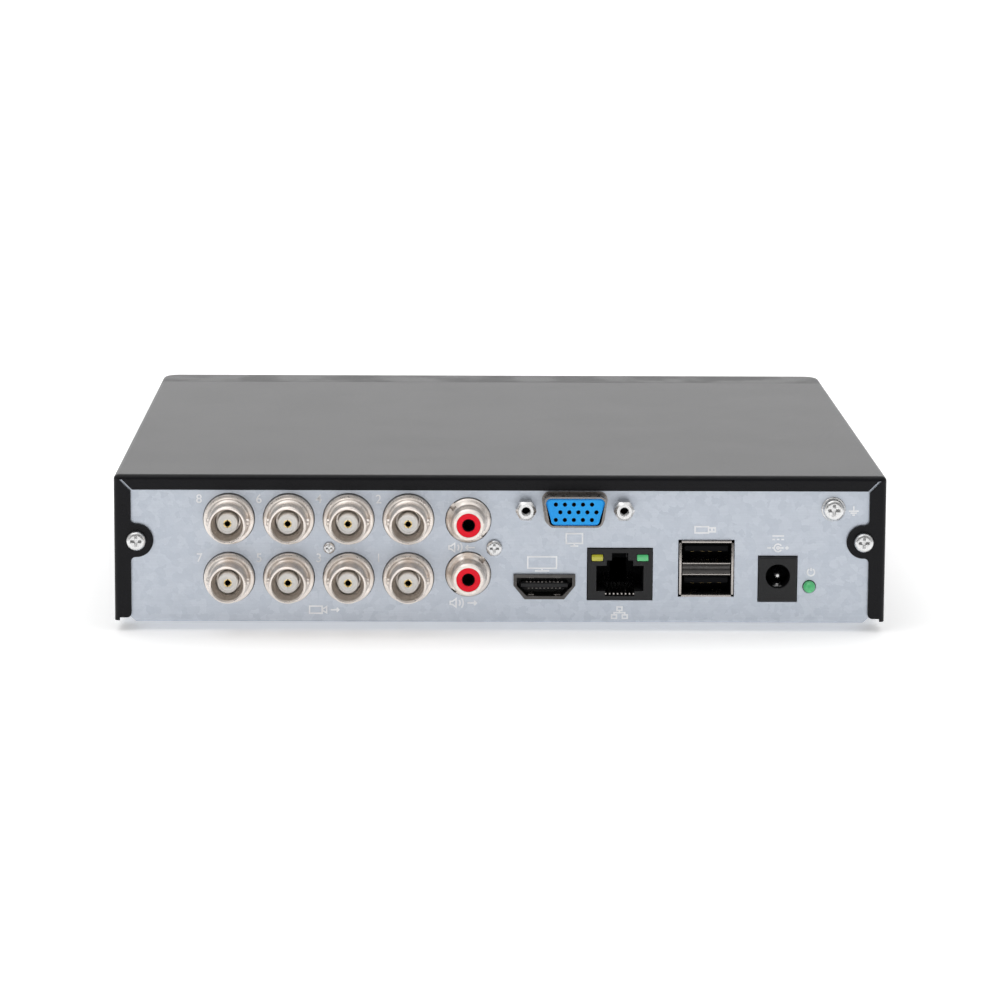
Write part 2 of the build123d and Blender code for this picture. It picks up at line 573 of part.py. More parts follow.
def monitor_port():
    """The D-shaped analogue monitor socket between its two hexagonal screw posts."""
    reach, wall = 5.9, 0.45
    shell_w, shell_n, shell_h = monitor_shell
    back = block_y
    outer = panel_prism(d_outline(shell_w, shell_n, shell_h), monitor_x, monitor_z, back, panel_y + reach,
                        1.7)
    inner = panel_prism(d_outline(shell_w - 2 * wall, shell_n - 2 * wall, shell_h - 2 * wall), monitor_x,
                        monitor_z,
                        back - 1, panel_y + reach + 1, 1.25)
    rim = panel_prism(d_outline(shell_w + 1.0, shell_n + 1.0, shell_h + 1.0), monitor_x, monitor_z,
                      panel_y, panel_y + 0.35, 2.1)
    keep("monitor_port_shell", outer + rim - inner)
    insert = panel_prism(d_outline(shell_w - 2 * wall - 1.0, shell_n - 2 * wall - 1.0,
                                   shell_h - 2 * wall - 0.7),
                         monitor_x, monitor_z, back, panel_y + reach - 0.15, 0.9)
    pin_pitch, row_pitch, stagger, hole = 2.29, 1.98, 0.38, 0.55
    for row in (-1, 0, 1):
        for i in range(5):
            x = monitor_x - (i - 2) * pin_pitch + (stagger if row else -2 * stagger)
            insert -= rod_y(hole, x, monitor_z + row * row_pitch, panel_y + 1.0, panel_y + reach + 1)
    keep("monitor_port_insert", insert)
    flat, length, bore = 4.75, 5.0, 1.2
    post = extrude(RegularPolygon(flat / 2, 6, major_radius=False), length)
    post &= Pos(0, 0, length / 2) * chamfer(Cylinder(2.65, length).edges().group_by(Axis.Z)[-1], 0.75)
    post += Pos(0, 0, (back - panel_y - 2.0) / 2) * Cylinder(1.4, panel_y - back + 2.0)
    post -= Pos(0, 0, length - 2.2) * Cylinder(bore, 4.5)
    keep("monitor_port_posts", *[facing_back(post, x, panel_y, z) for x, z in post_spots])
    half, low, high = 15.4, monitor_z - 6.0, monitor_z + 6.0
    shelf = block(monitor_x - half, monitor_x + half, block_y - 23.5, block_y, low, high)
    leg = block(monitor_x - 8.0, monitor_x + 8.0, block_y - 23.5, block_y - 17.5, board_z, low)
    body = shelf + leg
    body = chamfer(body.edges().group_by(Axis.Z)[-1], 0.7)
    body -= [rod_y(1.45, x, z, block_y - 3.5, block_y + 1) for x, z in post_spots]
    keep("monitor_port_block", body)


def digital_port():
    """The digital video socket: a folded shell with a flared mouth around a contact tongue."""
    width, height, wall, deep = digital_width, digital_tall, 0.35, 11.5
    outer = panel_prism(digital_outline(width, height), digital_x, digital_z, panel_y - deep, panel_y + 0.9)
    mouth = panel_prism(digital_outline(width, height, 0.45), digital_x, digital_z, panel_y + 0.3,
                        panel_y + 0.9)
    hollow = panel_prism(digital_outline(width, height, -wall), digital_x, digital_z, panel_y - deep + 1.5,
                         panel_y + 2)
    shell = outer + mouth - hollow
    keep("digital_port_shell", shell)
    half, z = 6.0, digital_z + 0.15
    tongue = block(digital_x - half, digital_x + half, panel_y - deep + 1.5, panel_y - 0.7, z - 0.75,
                   z + 0.75)
    tongue = chamfer(tongue.edges().filter_by(Axis.X).group_by(Axis.Y)[-1], 0.3)
    keep("digital_port_tongue", tongue)


def network_jack():
    """The black network socket with its latch notch up and a lamp in each upper corner."""
    x, z0, w, h = network_x, board_z, network_width, network_height
    front, back = panel_y + 0.6, panel_y - 16.2
    body = block(x - w / 2, x + w / 2, back, front, z0, z0 + h)
    depth = 12.5
    body -= block(x - 6.05, x + 6.05, front - depth, front + 1, z0 + 2.3, z0 + 8.9)
    body -= block(x - 3.4, x + 3.4, front - depth, front + 1, z0 + 8.8, z0 + 10.3)
    body -= block(x - 2.1, x + 2.1, front - depth, front + 1, z0 + 10.2, z0 + 12.2)
    body -= block(x - 3.75, x + 3.75, front - depth, front + 1, z0 + 1.0, z0 + 2.4)
    lamps = []
    for side in (-1, 1):
        cx = x + side * (w / 2 - 2.45)
        body -= block(cx - 1.55, cx + 1.55, front - 6, front + 1, z0 + 10.0, z0 + 11.9)
        lamp = block(cx - 1.5, cx + 1.5, front - 5.9, front + 0.1, z0 + 10.05, z0 + 11.85)
        lamps.append(fillet(lamp.edges().filter_by(Axis.Y), 0.5))
    keep("network_jack", body)
    keep("network_lights", *lamps)
    springs = []
    for i in range(8):
        cx = x + (i - 3.5) * 1.02
        y0, y1, low, high, thick = front - depth, front - 1.4, z0 + 1.3, z0 + 5.2, 0.35
        side_view = make_face(Polyline((y0, high), (y1, low + thick), (y1 + 0.6, low + thick),
                                       (y1 + 0.6, low),
                                       (y1 - 0.1, low), (y0, high - thick), close=True))
        plane = Plane(origin=(cx - 0.17, 0, 0), x_dir=(0, 1, 0), z_dir=(1, 0, 0))
        springs.append(extrude(plane * side_view, 0.34))
    keep("network_contacts", *springs)


def data_ports():
    """Two flat data sockets stacked in one folded shell."""
    x, z, w, h, wall = data_x, data_z, data_width, data_height, 0.35
    inner_w, inner_h, gap, back = 12.5, 5.1, 3.1, panel_y - 17.0
    tube_w, tube_h = w - 1.4, h - 1.4
    shell = block(x - tube_w / 2, x + tube_w / 2, back, panel_y + 0.7, z - tube_h / 2, z + tube_h / 2)
    flange = block(x - w / 2, x + w / 2, panel_y, panel_y + 0.35, z - h / 2, z + h / 2)
    shell += chamfer(flange.edges().filter_by(Axis.Y), 1.0)
    tongues = []
    for side in (-1, 1):
        cz = z + side * (inner_h + gap) / 2
        shell -= block(x - inner_w / 2, x + inner_w / 2, back + 1.5, panel_y + 2, cz - inner_h / 2,
                       cz + inner_h / 2)
        tongue = block(x - 5.55, x + 5.55, back + 1.5, panel_y - 0.6, cz + 0.15, cz + 1.95)
        tongues.append(chamfer(tongue.edges().filter_by(Axis.X).group_by(Axis.Y)[-1], 0.4))
    shell -= block(x - inner_w / 2, x + inner_w / 2, back + 3, panel_y + 2, z - gap / 2 + wall,
                   z + gap / 2 - wall)
    foot = [block(x + side * (tube_w / 2 - 1.2), x + side * tube_w / 2, back + 4, back + 12, board_z,
                  z - tube_h / 2)
            for side in (-1, 1)]
    keep("data_port_shell", shell + foot)
    keep("data_port_tongues", *tongues)


def power_jack():
    """The round low-voltage inlet with its centre pin."""
    x, z, hole, deep = power_x, power_z, 3.15, 9.5
    front, back = panel_y + 1.0, panel_y - 13.0
    body = block(x - power_width / 2, x + power_width / 2, back, front, z - power_height / 2,
                 z + power_height / 2)
    body = fillet(body.edges().group_by(Axis.Y)[-1], 0.5)
    body -= block(x - power_width, x + power_width, back - 1, panel_inner_y, base_z, board_z)
    hz = z + power_hole_lift
    body -= rod_y(hole, x, hz, front - deep, front + 1)
    body -= rod_y(1.0, x, hz, back - 1, front)
    body -= block(x - 1.3, x + 1.3, front - deep, front - 2.0, hz - hole - 0.7, hz - hole + 0.5)
    keep("power_jack", body)
    pin = rod_y(1.0, x, hz, back, front - 1.2)
    pin = fillet(pin.edges().group_by(Axis.Y)[-1], 0.45)
    leaf = block(x - 1.1, x + 1.1, front - deep, front - 2.2, hz - hole - 0.6, hz - hole - 0.25)
    keep("power_jack_pin", pin, leaf)


def power_light():
    lamp = turned(light_x, base_z + light_height,
                  [(0, -6.0), (light_radius, -6.0), (light_radius, 0.5), (0, 0.5)])
    dome = Pos(light_x, panel_y + 0.5, base_z + light_height) * Sphere(light_radius)
    lamp += dome & rod_y(2 * light_radius, light_x, base_z + light_height, panel_y + 0.5, panel_y + 5)
    leg_back, leg_front = panel_y - 9.0, panel_y - 6.0
    stem = block(light_x - 1.0, light_x + 1.0, leg_back, leg_front, board_z, base_z + light_height + 0.8)
    keep("power_light", lamp + stem)


# ================================================================ the main board and what stands on it
def main_board():
    z0, z1 = board_z - board_thickness, board_z
    x1 = flange_inner - board_edge_gap
    board = block(-x1, x1, board_front_y, board_rear_y, z0, z1)
    board += block(-x1, wing_inner_x, disk_y0, board_front_y, z0, z1)
    corner = board.edges().filter_by(Axis.Z)
    board = fillet(corner, 1.0)
    board -= [rod_z(1.6, x, y, z0 - 1, z1 + 1) for x, y in board_fixings]
    keep("main_board", board)
    legs, screws = [], []
    for x, y in board_fixings:
        leg = rod_z(standoff_radius, x, y, floor_z, z0) + rod_z(standoff_bore - 0.05, x, y, base_z + 0.1,
                                                                floor_z)
        leg -= rod_z(0.9, x, y, floor_z, z0 + 1)
        legs.append(leg)
        screws.append(Pos(x, y, z1) * pan_screw(2.6, 1.6, 0.8, board_thickness + 1.8))
    keep("board_standoffs", *legs)
    keep("board_screws", *screws)


def chip(x, y, wide, deep, thick):
    """A flat moulded chip with a bevelled top."""
    body = block(x - wide / 2, x + wide / 2, y - deep / 2, y + deep / 2, board_z, board_z + thick)
    return chamfer(body.edges().group_by(Axis.Z)[-1], 0.2)


def board_parts():
    keep("board_chips", chip(heat_x, heat_y, 19, 19, 1.7), chip(-14, 50, 13.5, 8.5, 1.2),
         chip(-14, 39, 13.5, 8.5, 1.2),
         chip(38, 58, 12, 12, 1.1), chip(-32, 58, 9, 9, 1.0), chip(-36, 34, 8, 6, 1.4),
         chip(42, 38, 7, 7, 1.0),
         chip(-66, 46, 5, 4, 1.3), chip(-55, 61, 5, 4, 1.3), chip(wing_inner_x - 13, 6, 7, 7, 1.0),
         chip(78, 56, 8, 5, 1.5))
    low = board_z + 1.7
    sink = block(heat_x - heat_side / 2, heat_x + heat_side / 2, heat_y - heat_side / 2,
                 heat_y + heat_side / 2,
                 low, low + heat_height)
    fins = 9
    pitch = heat_side / fins
    for i in range(fins - 1):
        x = heat_x - heat_side / 2 + (i + 1) * pitch
        sink -= block(x - 1.0, x + 1.0, heat_y - 20, heat_y + 20, low + 2.2, low + heat_height + 1)
    for side in (-1, 1):
        cut_y = heat_y + side * 5.0
        sink -= block(heat_x - 20, heat_x + 20, cut_y - 1.0, cut_y + 1.0, low + 2.2, low + heat_height + 1)
    keep("heat_sink", sink)
    cans = []
    for x, y, r, h in ((-64, 58, 4.0, 11.5), (-73, 56, 4.0, 11.5), (-82, 54, 3.15, 8.0),
                       (-48, 46, 3.15, 6.5),
                       (-48, 37, 3.15, 6.5), (48, 28, 3.15, 6.5), (-82, 40, 4.0, 10.0)):
        can = rod_z(r, x, y, board_z, board_z + h)
        cans.append(fillet(can.edges().group_by(Axis.Z)[-1], 0.5))
    keep("board_capacitors", *cans)
    coils = []
    for x, y, s, h in ((-64, 36, 7.0, 3.6), (-74, 44, 6.0, 3.2), (36, 27, 6.0, 3.2), (-56, 50, 5.0, 2.6)):
        coils.append(fillet(block(x - s / 2, x + s / 2, y - s / 2, y + s / 2, board_z, board_z + h)
                            .edges().filter_by(Axis.Z), 0.9))
    keep("board_inductors", *coils)
    holder = rod_z(battery_radius + 1.6, battery_x, battery_y, board_z, board_z + 4.6)
    holder -= rod_z(battery_radius + 0.2, battery_x, battery_y, board_z + 1.0, board_z + 6)
    holder -= block(battery_x - 20, battery_x + 20, battery_y - battery_radius * 0.45,
                    battery_y + battery_radius * 0.45, board_z + 1.0, board_z + 6)
    keep("battery_holder", holder)
    cell = rod_z(battery_radius, battery_x, battery_y, board_z + 1.0, board_z + 4.2)
    keep("clock_battery", fillet(cell.edges().group_by(Axis.Z)[-1], 0.5))
    buzzer = rod_z(6.0, 84, 40, board_z, board_z + 8.5) - rod_z(1.2, 84, 40, board_z + 6, board_z + 9)
    keep("buzzer", fillet(buzzer.edges().group_by(Axis.Z)[-1].sort_by(SortBy.LENGTH)[-1], 0.6))


# ================================================================ cables between the board and the disk
def loop_path(start_x, y, end_z):
    """The middle line of a cable: out of the disk's plug, up, over and down into the board's plug."""
    radius = 0.9 * min((cable_rise_x - socket_x) / 2, loop_top - end_z)
    points = [(start_x, y, plug_z), (cable_rise_x, y, plug_z), (cable_rise_x, y, loop_top),
              (socket_x, y, loop_top),
              (socket_x, y, end_z)]
    return FilletPolyline(*points, radius=[4.4, radius, radius])


def disk_cables():
    start = disk_x0 - plug_length - 0.2
    end = socket_top + 7.0
    path = loop_path(start, data_plug_y, end)
    flat = Plane(origin=(start, data_plug_y, plug_z), x_dir=(0, 1, 0),
                 z_dir=(-1, 0, 0)) * RectangleRounded(7.6, 1.9, 0.9)
    keep("disk_data_cable", sweep(flat, path=path))
    wires = []
    for i in range(4):
        y = power_plug_y + (i - 1.5) * 3.8
        wire_path = loop_path(start, y, end)
        section = Plane(origin=(start, y, plug_z), x_dir=(0, 1, 0), z_dir=(-1, 0, 0)) * Circle(0.85)
        wires.append(sweep(section, path=wire_path))
    keep("disk_power_wires", *wires)
    plugs = []
    for y, wide in ((data_plug_y, 10.6), (power_plug_y, 21.0)):
        body = block(start, disk_x0 - 0.2, y - wide / 2, y + wide / 2, plug_z - plug_height / 2,
                     plug_z + plug_height / 2)
        plugs.append(fillet(body.edges().filter_by(Axis.X), 0.7))
    for y, wide, deep in ((data_plug_y, 10.6, 5.0), (power_plug_y, 15.4, 6.0)):
        body = block(socket_x - deep / 2, socket_x + deep / 2, y - wide / 2, y + wide / 2, socket_top, end)
        plugs.append(fillet(body.edges().filter_by(Axis.Z), 0.7))
    keep("cable_plugs", *plugs)
    sockets = []
    for y, wide, deep in ((data_plug_y, 16.0, 6.4), (power_plug_y, 16.6, 7.4)):
        sockets.append(chamfer(block(socket_x - deep / 2, socket_x + deep / 2, y - wide / 2, y + wide / 2,
                                     board_z, socket_top).edges().group_by(Axis.Z)[-1], 0.5))
    return sockets


def front_cable():
    """The flat cable from the front board to the main board, with the small socket at each end."""
    x, wide, thick = wing_inner_x - front_cable_inset, 9.0, 0.5
    low_y = disk_y0 + 17.0
    high_z = base_z + 13.5
    start_y = front_board_y + front_board_thickness
    socket_depth = 3.4
    upper = block(x - 6, x + 6, start_y, start_y + socket_depth, high_z - 2.2, high_z + 2.2)
    lower = block(x - 6, x + 6, low_y - 2.4, low_y + 2.4, board_z, board_z + 5.0)
    points = [(x, start_y + socket_depth, high_z), (x, disk_y0 + 5.0, high_z),
              (x, disk_y0 + 9.0, base_z + 24.0),
              (x, low_y, base_z + 24.0), (x, low_y, board_z + 5.0)]
    path = FilletPolyline(*points, radius=[2.5, 2.5, 3.5])
    section = Plane(origin=points[0], x_dir=(1, 0, 0), z_dir=(0, 1, 0)) * Rectangle(wide, thick)
    keep("front_cable", sweep(section, path=path))
    return [upper, lower]


# ================================================================ the disk drive
def park_angles():
    """Angle from the pivot-spindle line to the parked arm, and the arm's swing out to the platters' rim."""
    def opening(radius):
        cosine = (pivot_distance ** 2 + arm_length ** 2 - radius ** 2) / (2 * pivot_distance * arm_length)
        return math.degrees(math.acos(cosine))
    return opening(parked_radius), opening(platter_radius - 1.5) - opening(parked_radius)


def disk_case():
    z0 = disk_z
    case_top = z0 + disk_height - disk_lid_thickness
    body = round_block(disk_x0, disk_x1, disk_y0, disk_y1, z0, case_top, 3.0)
    wall = disk_wall
    well = rod_z(platter_radius + 0.8, spindle_x, spindle_y, z0 + cavity_floor, case_top + 1)
    bay = round_block(disk_x0 + wall + 1.5, spindle_x - 20, disk_y0 + wall, disk_y1 - wall,
                      z0 + cavity_floor, case_top + 1, 5.0)
    body -= well + bay
    body += rod_z(spindle_radius, spindle_x, spindle_y, z0 + cavity_floor - 1, z0 + 17.0)
    body += rod_z(post_radius, pivot_x, pivot_y, z0 + cavity_floor - 1, z0 + 20.0)
    body -= block(disk_x0 + 12.0, disk_x0 + 96.0, disk_y0 + 14.0, disk_y1 - 14.0, z0 - 1, z0 + 2.6)
    body -= block(disk_x0 - 1, disk_x0 + 12.1, data_plug_y - 10.0, data_plug_y + 8.0, z0 - 1, z0 + 6.2)
    body -= block(disk_x0 - 1, disk_x0 + 12.1, power_plug_y - 12.0, power_plug_y + 12.0, z0 - 1, z0 + 6.2)
    for x, y in disk_pads:
        body -= rod_z(disk_screw_shank + 0.05, x, y, z0 - 1, z0 + 4.5)
    keep("disk_case", body)


def disk_lid():
    low = disk_z + disk_height - disk_lid_thickness
    lid = round_block(disk_x0 + 0.8, disk_x1 - 0.8, disk_y0 + 0.8, disk_y1 - 0.8, low,
                      low + disk_lid_thickness, 3.0)
    lid = fillet(lid.edges().group_by(Axis.Z)[-1], 0.35)
    dish = rod_z(40.0, spindle_x, spindle_y, low + 0.6, low + 3)
    pad = round_block(disk_x0 + 10, disk_x0 + 48, disk_mid_y - 34, disk_mid_y + 34, low + 0.6, low + 3, 4.0)
    lid -= dish + pad
    lid += rod_z(11.0, spindle_x, spindle_y, low, low + disk_lid_thickness)
    screws = []
    for x, y in lid_screw_spots:
        lid -= rod_z(2.0, x, y, low + 0.5, low + 3)
        screw = rod_z(1.9, x, y, low + 0.5, low + disk_lid_thickness + 0.1)
        star = Pos(x, y, low + disk_lid_thickness) * extrude(RegularPolygon(0.9, 6), 0.4, both=True)
        screws.append(screw - star)
    keep("disk_lid", lid)
    keep("disk_lid_screws", *screws)


def disk_rotor():
    z0 = disk_z
    low, high = (z0 + h for h in platter_heights)
    hub = rod_z(hub_radius + 3.0, spindle_x, spindle_y, z0 + cavity_floor + 0.4, low)
    hub += rod_z(hub_radius, spindle_x, spindle_y, low - 1, high + platter_thickness + 0.6)
    hub += rod_z(hub_radius + 2.6, spindle_x, spindle_y, low + platter_thickness, high)
    clamp = rod_z(hub_radius + 3.0, spindle_x, spindle_y, high + platter_thickness,
                  high + platter_thickness + 1.4)
    clamp = chamfer(clamp.edges().group_by(Axis.Z)[-1], 0.5)
    hub += clamp
    hub -= rod_z(spindle_radius + shaft_clearance, spindle_x, spindle_y, z0, z0 + 17.4)
    for i in range(6):
        turn = math.radians(60 * i)
        hub -= rod_z(1.3, spindle_x + 8.5 * math.cos(turn), spindle_y + 8.5 * math.sin(turn),
                     high + platter_thickness + 0.7, high + platter_thickness + 3)
    keep("disk_hub", hub)
    plates = [rod_z(platter_radius, spindle_x, spindle_y, z, z + platter_thickness)
              - rod_z(platter_bore, spindle_x, spindle_y, z - 1, z + 3) for z in (low, high)]
    keep("disk_platters", *plates)


def disk_arm():
    """The head arm, drawn along +X from the pivot and then turned to its parked direction."""
    park, _ = park_angles()
    turn = pivot_bearing - park
    z0 = disk_z
    low, high = platter_heights
    levels = (low - head_clearance - 1.5, (low + platter_thickness + high) / 2 - 0.5,
              high + platter_thickness + head_clearance + 0.5)
    hub = rod_z(7.0, 0, 0, cavity_floor + 1.6, high + platter_thickness + 1.9)
    arm = hub
    for z in levels:
        blade = make_face(Polyline((0, 6.2), (arm_length * 0.62, 2.6), (arm_length, 1.4),
                                   (arm_length + 1.2, 0),
                                   (arm_length, -1.4), (arm_length * 0.62, -2.6), (0, -6.2), close=True))
        arm += extrude(Plane.XY.offset(z) * blade, 1.0)
    slider_x = arm_length - 0.6
    faces = ((levels[0] + 1.0, low - head_clearance), (low + platter_thickness + head_clearance, levels[1]),
             (levels[1] + 1.0, high - head_clearance),
             (high + platter_thickness + head_clearance, levels[2]))
    for a, b in faces:
        arm += block(slider_x - 0.8, slider_x + 0.8, -0.6, 0.6, a, b)
    coil_low, coil_high = 11.3, 13.3
    far, near = 2.5 - magnet_reach, 6.0 - magnet_reach
    ring = make_face(Polyline((-5, 4.5), (far, 8.0), (far, -8.0), (-5, -4.5), close=True))
    hole = make_face(Polyline((-12, 2.8), (near, 4.6), (near, -4.6), (-12, -2.8), close=True))
    coil = extrude(Plane.XY.offset(coil_low) * (ring - hole), coil_high - coil_low)
    arm += coil - rod_z(6.0, 0, 0, 0, 30)
    arm -= rod_z(post_radius + shaft_clearance, 0, 0, 0, 30)
    keep("disk_arm", Pos(pivot_x, pivot_y, z0) * Rot(0, 0, turn) * arm)


def disk_magnets():
    """Two steel yokes above and below the arm's coil, joined by posts."""
    park, sweep_angle = park_angles()
    middle = pivot_bearing - park - sweep_angle / 2 + 180
    inner, outer, half = 13.0, magnet_reach, 43.0
    a, b = math.radians(middle - half), math.radians(middle + half)

    def at(radius, angle):
        return (pivot_x + radius * math.cos(angle), pivot_y + radius * math.sin(angle))
    centre = math.radians(middle)
    outline = make_face(Line(at(inner, a), at(outer, a))
                        + ThreePointArc(at(outer, a), at(outer, centre), at(outer, b))
                        + Line(at(outer, b), at(inner, b))
                        + ThreePointArc(at(inner, b), at(inner, centre), at(inner, a)))
    z0 = disk_z
    lower = extrude(Plane.XY.offset(z0 + cavity_floor) * outline, 3.6)
    upper = extrude(Plane.XY.offset(z0 + 14.0) * outline, 3.6)
    posts = [rod_z(1.6, *at(outer - 1.8, angle), z0 + cavity_floor, z0 + 15.0)
             for angle in (a + 0.07, b - 0.07)]
    keep("disk_magnets", lower + upper + posts)


def disk_board():
    z0 = disk_z
    board = block(disk_x0 + 12.4, disk_x0 + 95.6, disk_y0 + 14.4, disk_y1 - 14.4, z0 + 0.2, z0 + 1.4)
    keep("disk_board", board)
    sockets = []
    for y, wide in ((data_plug_y, 12.0), (power_plug_y, 23.0)):
        sockets.append(block(disk_x0, disk_x0 + 12.0, y - wide / 2, y + wide / 2, plug_z - 2.9,
                             plug_z + 2.4))
    keep("disk_sockets", sockets[0] + sockets[1])
    screw = Rot(180, 0, 0) * pan_screw(2.9, 1.6, disk_screw_shank, sheet + 3.6)
    keep("disk_screws", *[Pos(x, y, disk_z - sheet) * screw for x, y in disk_pads])


def build():
    top_cover()
    base_tray()
    standing_screws()
    rubber_feet()
    front_bezel()
    front_board()
    bnc_jacks()
    audio_jacks()
    monitor_port()
    digital_port()
    network_jack()
    data_ports()
    power_jack()
    power_light()
    main_board()
    board_parts()
    keep("board_sockets", *disk_cables(), *front_cable())
    disk_case()
    disk_lid()
    disk_rotor()
    disk_arm()
    disk_magnets()
    disk_board()
    os.makedirs("parts", exist_ok=True)
    for name, shape in made.items():
        export_step(shape, f"parts/{name}.step")
    print(len(made), "nodes")


build()
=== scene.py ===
"""Finishes, printed marks and fine detail for a compact video recorder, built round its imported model."""
import json
import math
import random

import bmesh
import bpy
from bpy.props import FloatProperty, FloatVectorProperty, IntProperty, PointerProperty
from mathutils import Matrix, Vector


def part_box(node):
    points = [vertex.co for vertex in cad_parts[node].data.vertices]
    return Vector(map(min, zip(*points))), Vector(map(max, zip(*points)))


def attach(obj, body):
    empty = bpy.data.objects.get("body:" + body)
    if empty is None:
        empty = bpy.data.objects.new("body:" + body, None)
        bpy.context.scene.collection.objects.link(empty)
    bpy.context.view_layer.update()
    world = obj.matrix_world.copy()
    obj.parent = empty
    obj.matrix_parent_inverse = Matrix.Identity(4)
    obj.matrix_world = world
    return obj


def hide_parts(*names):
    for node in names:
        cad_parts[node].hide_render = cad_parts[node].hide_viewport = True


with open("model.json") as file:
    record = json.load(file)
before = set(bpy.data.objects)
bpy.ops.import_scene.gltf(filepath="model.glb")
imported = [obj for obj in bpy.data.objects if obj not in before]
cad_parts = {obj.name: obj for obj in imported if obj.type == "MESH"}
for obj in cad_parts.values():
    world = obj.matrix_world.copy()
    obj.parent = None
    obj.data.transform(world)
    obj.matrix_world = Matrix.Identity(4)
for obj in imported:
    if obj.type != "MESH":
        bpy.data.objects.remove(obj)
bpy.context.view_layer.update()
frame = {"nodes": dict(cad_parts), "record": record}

bl_info = {
    "name": "Video Recorder Builder",
    "version": (1, 0, 0),
    "blender": (4, 5, 0),
    "location": "3D View > Sidebar > Recorder",
    "description": "Dresses a compact video recorder: finishes, sockets, marks, circuit boards and a studio",
    "category": "Object",
}

MM = 0.001
NODES = frame["nodes"]
SMOOTH_ANGLE = math.radians(32)
LID_HOLE_X, LID_HOLE_INSET = 60 * MM, 8.5 * MM      # seal and breather from the end and the sides of the lid
FILM_STEP = 0.1                             # each stroke of a sign is this much thicker than the one before
CAPITAL_SHARE = 0.72                        # height of a digit as a share of its font's size
STROKE_GROWTH = 0.012                       # how much its strokes are thickened, as a share of its height


# ---------------------------------------------------------------- places taken from the frame
def low(node):
    return Vector(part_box(node)[0])


def high(node):
    return Vector(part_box(node)[1])


def middle(node):
    return (low(node) + high(node)) / 2


def mount_place(name):
    """Where the record puts a mount, in metres."""
    for mount in frame["record"]["mounts"]:
        if mount["name"] == name:
            return Vector(mount["pos_m"])
    raise RuntimeError(f"the record has no mount named {name}")


PANEL_Y = high("base_tray").y               # outer face of the connector panel
LIP_Y = high("top_cover").y                 # outer face of the cover's rear lips
CASE_TOP = high("top_cover").z
TRAY_FLOOR = low("base_tray").z             # underside of the steel tray
BOARD_TOP = high("main_board").z
CAMERAS = [mount_place(f"camera_{number}") for number in range(1, 9)]


def solid_boxes(node):
    """The lowest and highest corners of each separate solid of a node, from +X to -X."""
    shape = bmesh.new()
    shape.from_mesh(NODES[node].data)
    bmesh.ops.remove_doubles(shape, verts=shape.verts, dist=0.001 * MM)
    seen, boxes = set(), []
    for start in shape.verts:
        if start in seen:
            continue
        seen.add(start)
        queue, points = [start], []
        while queue:
            vertex = queue.pop()
            points.append(vertex.co)
            for edge in vertex.link_edges:
                other = edge.other_vert(vertex)
                if other not in seen:
                    seen.add(other)
                    queue.append(other)
        boxes.append((Vector([min(point[axis] for point in points) for axis in range(3)]),
                      Vector([max(point[axis] for point in points) for axis in range(3)])))
    shape.free()
    return sorted(boxes, key=lambda box: (-round(box[0].x, 5), round(box[0].y, 5), round(box[0].z, 5)))


# ---------------------------------------------------------------- what a user may change
def length(name, description, default, **limits):
    return FloatProperty(name=name, description=description, default=default, unit="LENGTH",
                         subtype="DISTANCE", precision=5, **limits)


def light(name, description, default, **kind):
    return FloatProperty(name=name, description=description, default=default, min=0.0, **kind)


def share(name, description, default):
    return FloatProperty(name=name, description=description, default=default, min=0.0, max=1.0,
                         subtype="FACTOR")


def angle(name, description, degrees):
    return FloatProperty(name=name, description=description, default=math.radians(degrees), subtype="ANGLE",
                         unit="ROTATION")


def colour(name, description, default):
    return FloatVectorProperty(name=name, description=description, default=default, size=3, min=0.0, max=1.0,
                               subtype="COLOR")


class StudioSettings(bpy.types.PropertyGroup):
    camera_distance: length("Camera distance", "From the upper edge of the back to the camera", 1.0258)
    camera_turn: angle("Camera turn", "How far the camera stands round from straight behind, towards +X",
                       0.90)
    camera_elevation: angle("Camera elevation", "How far the camera looks down", 9.39)
    camera_roll: angle("Camera roll", "Tilt of the camera about its own line of sight", 0.30)
    focal_length: FloatProperty(name="Focal length", description="Lens of the camera in millimetres",
                                default=144.97)
    aim_side: length("Aim, sideways", "Sideways place of the point that the camera looks at", 0.00017)
    aim_drop: length("Aim, below the top",
                     "Drop from the top of the case to the point that the camera looks at", 0.0063)
    floor_colour: colour("Floor", "Pale floor and backdrop", (0.86, 0.86, 0.86))
    floor_glow: light("Floor glow", "Light of the lit floor itself", 0.35)
    backdrop: light("Backdrop", "Brightness of the plain background", 1.0)
    far_wall: light("Far wall", "Light from beyond the recorder", 1.32)
    near_wall: light("Near wall", "Light from behind the camera", 0.21)
    side_wall: light("Side walls", "Light from the sides, as a share", 0.6)
    ceiling: light("Ceiling", "Light added from above", 0.35)
    key_power: light("Key light", "Power of the large light above", 3.0, subtype="POWER", unit="POWER")
    fill_power: light("Fill light", "Power of the lights at the sides", 1.2, subtype="POWER", unit="POWER")


class CaseSettings(bpy.types.PropertyGroup):
    paint: colour("Cover paint", "Fine black powder coat of the cover", (0.0042, 0.0042, 0.0058))
    paint_worn: colour("Rubbed paint", "Powder coat where edges have been rubbed", (0.05, 0.05, 0.054))
    zinc_light: colour("Zinc, light", "Lighter crystals of the zinc coating", (0.68, 0.725, 0.795))
    zinc_dark: colour("Zinc, dark", "Darker crystals of the zinc coating", (0.51, 0.555, 0.625))
    bezel: colour("Bezel", "Moulded plastic of the front", (0.012, 0.012, 0.013))
    rubber: colour("Feet", "Rubber of the feet", (0.018, 0.018, 0.018))
    paint_grain: length("Paint grain", "Size of the powder coat's texture", 0.00035)
    spangle: length("Zinc crystals", "Size of the zinc coating's crystals", 0.0018)
    edge_wear: length("Edge wear", "Width of the rubbed band along edges", 0.0009)


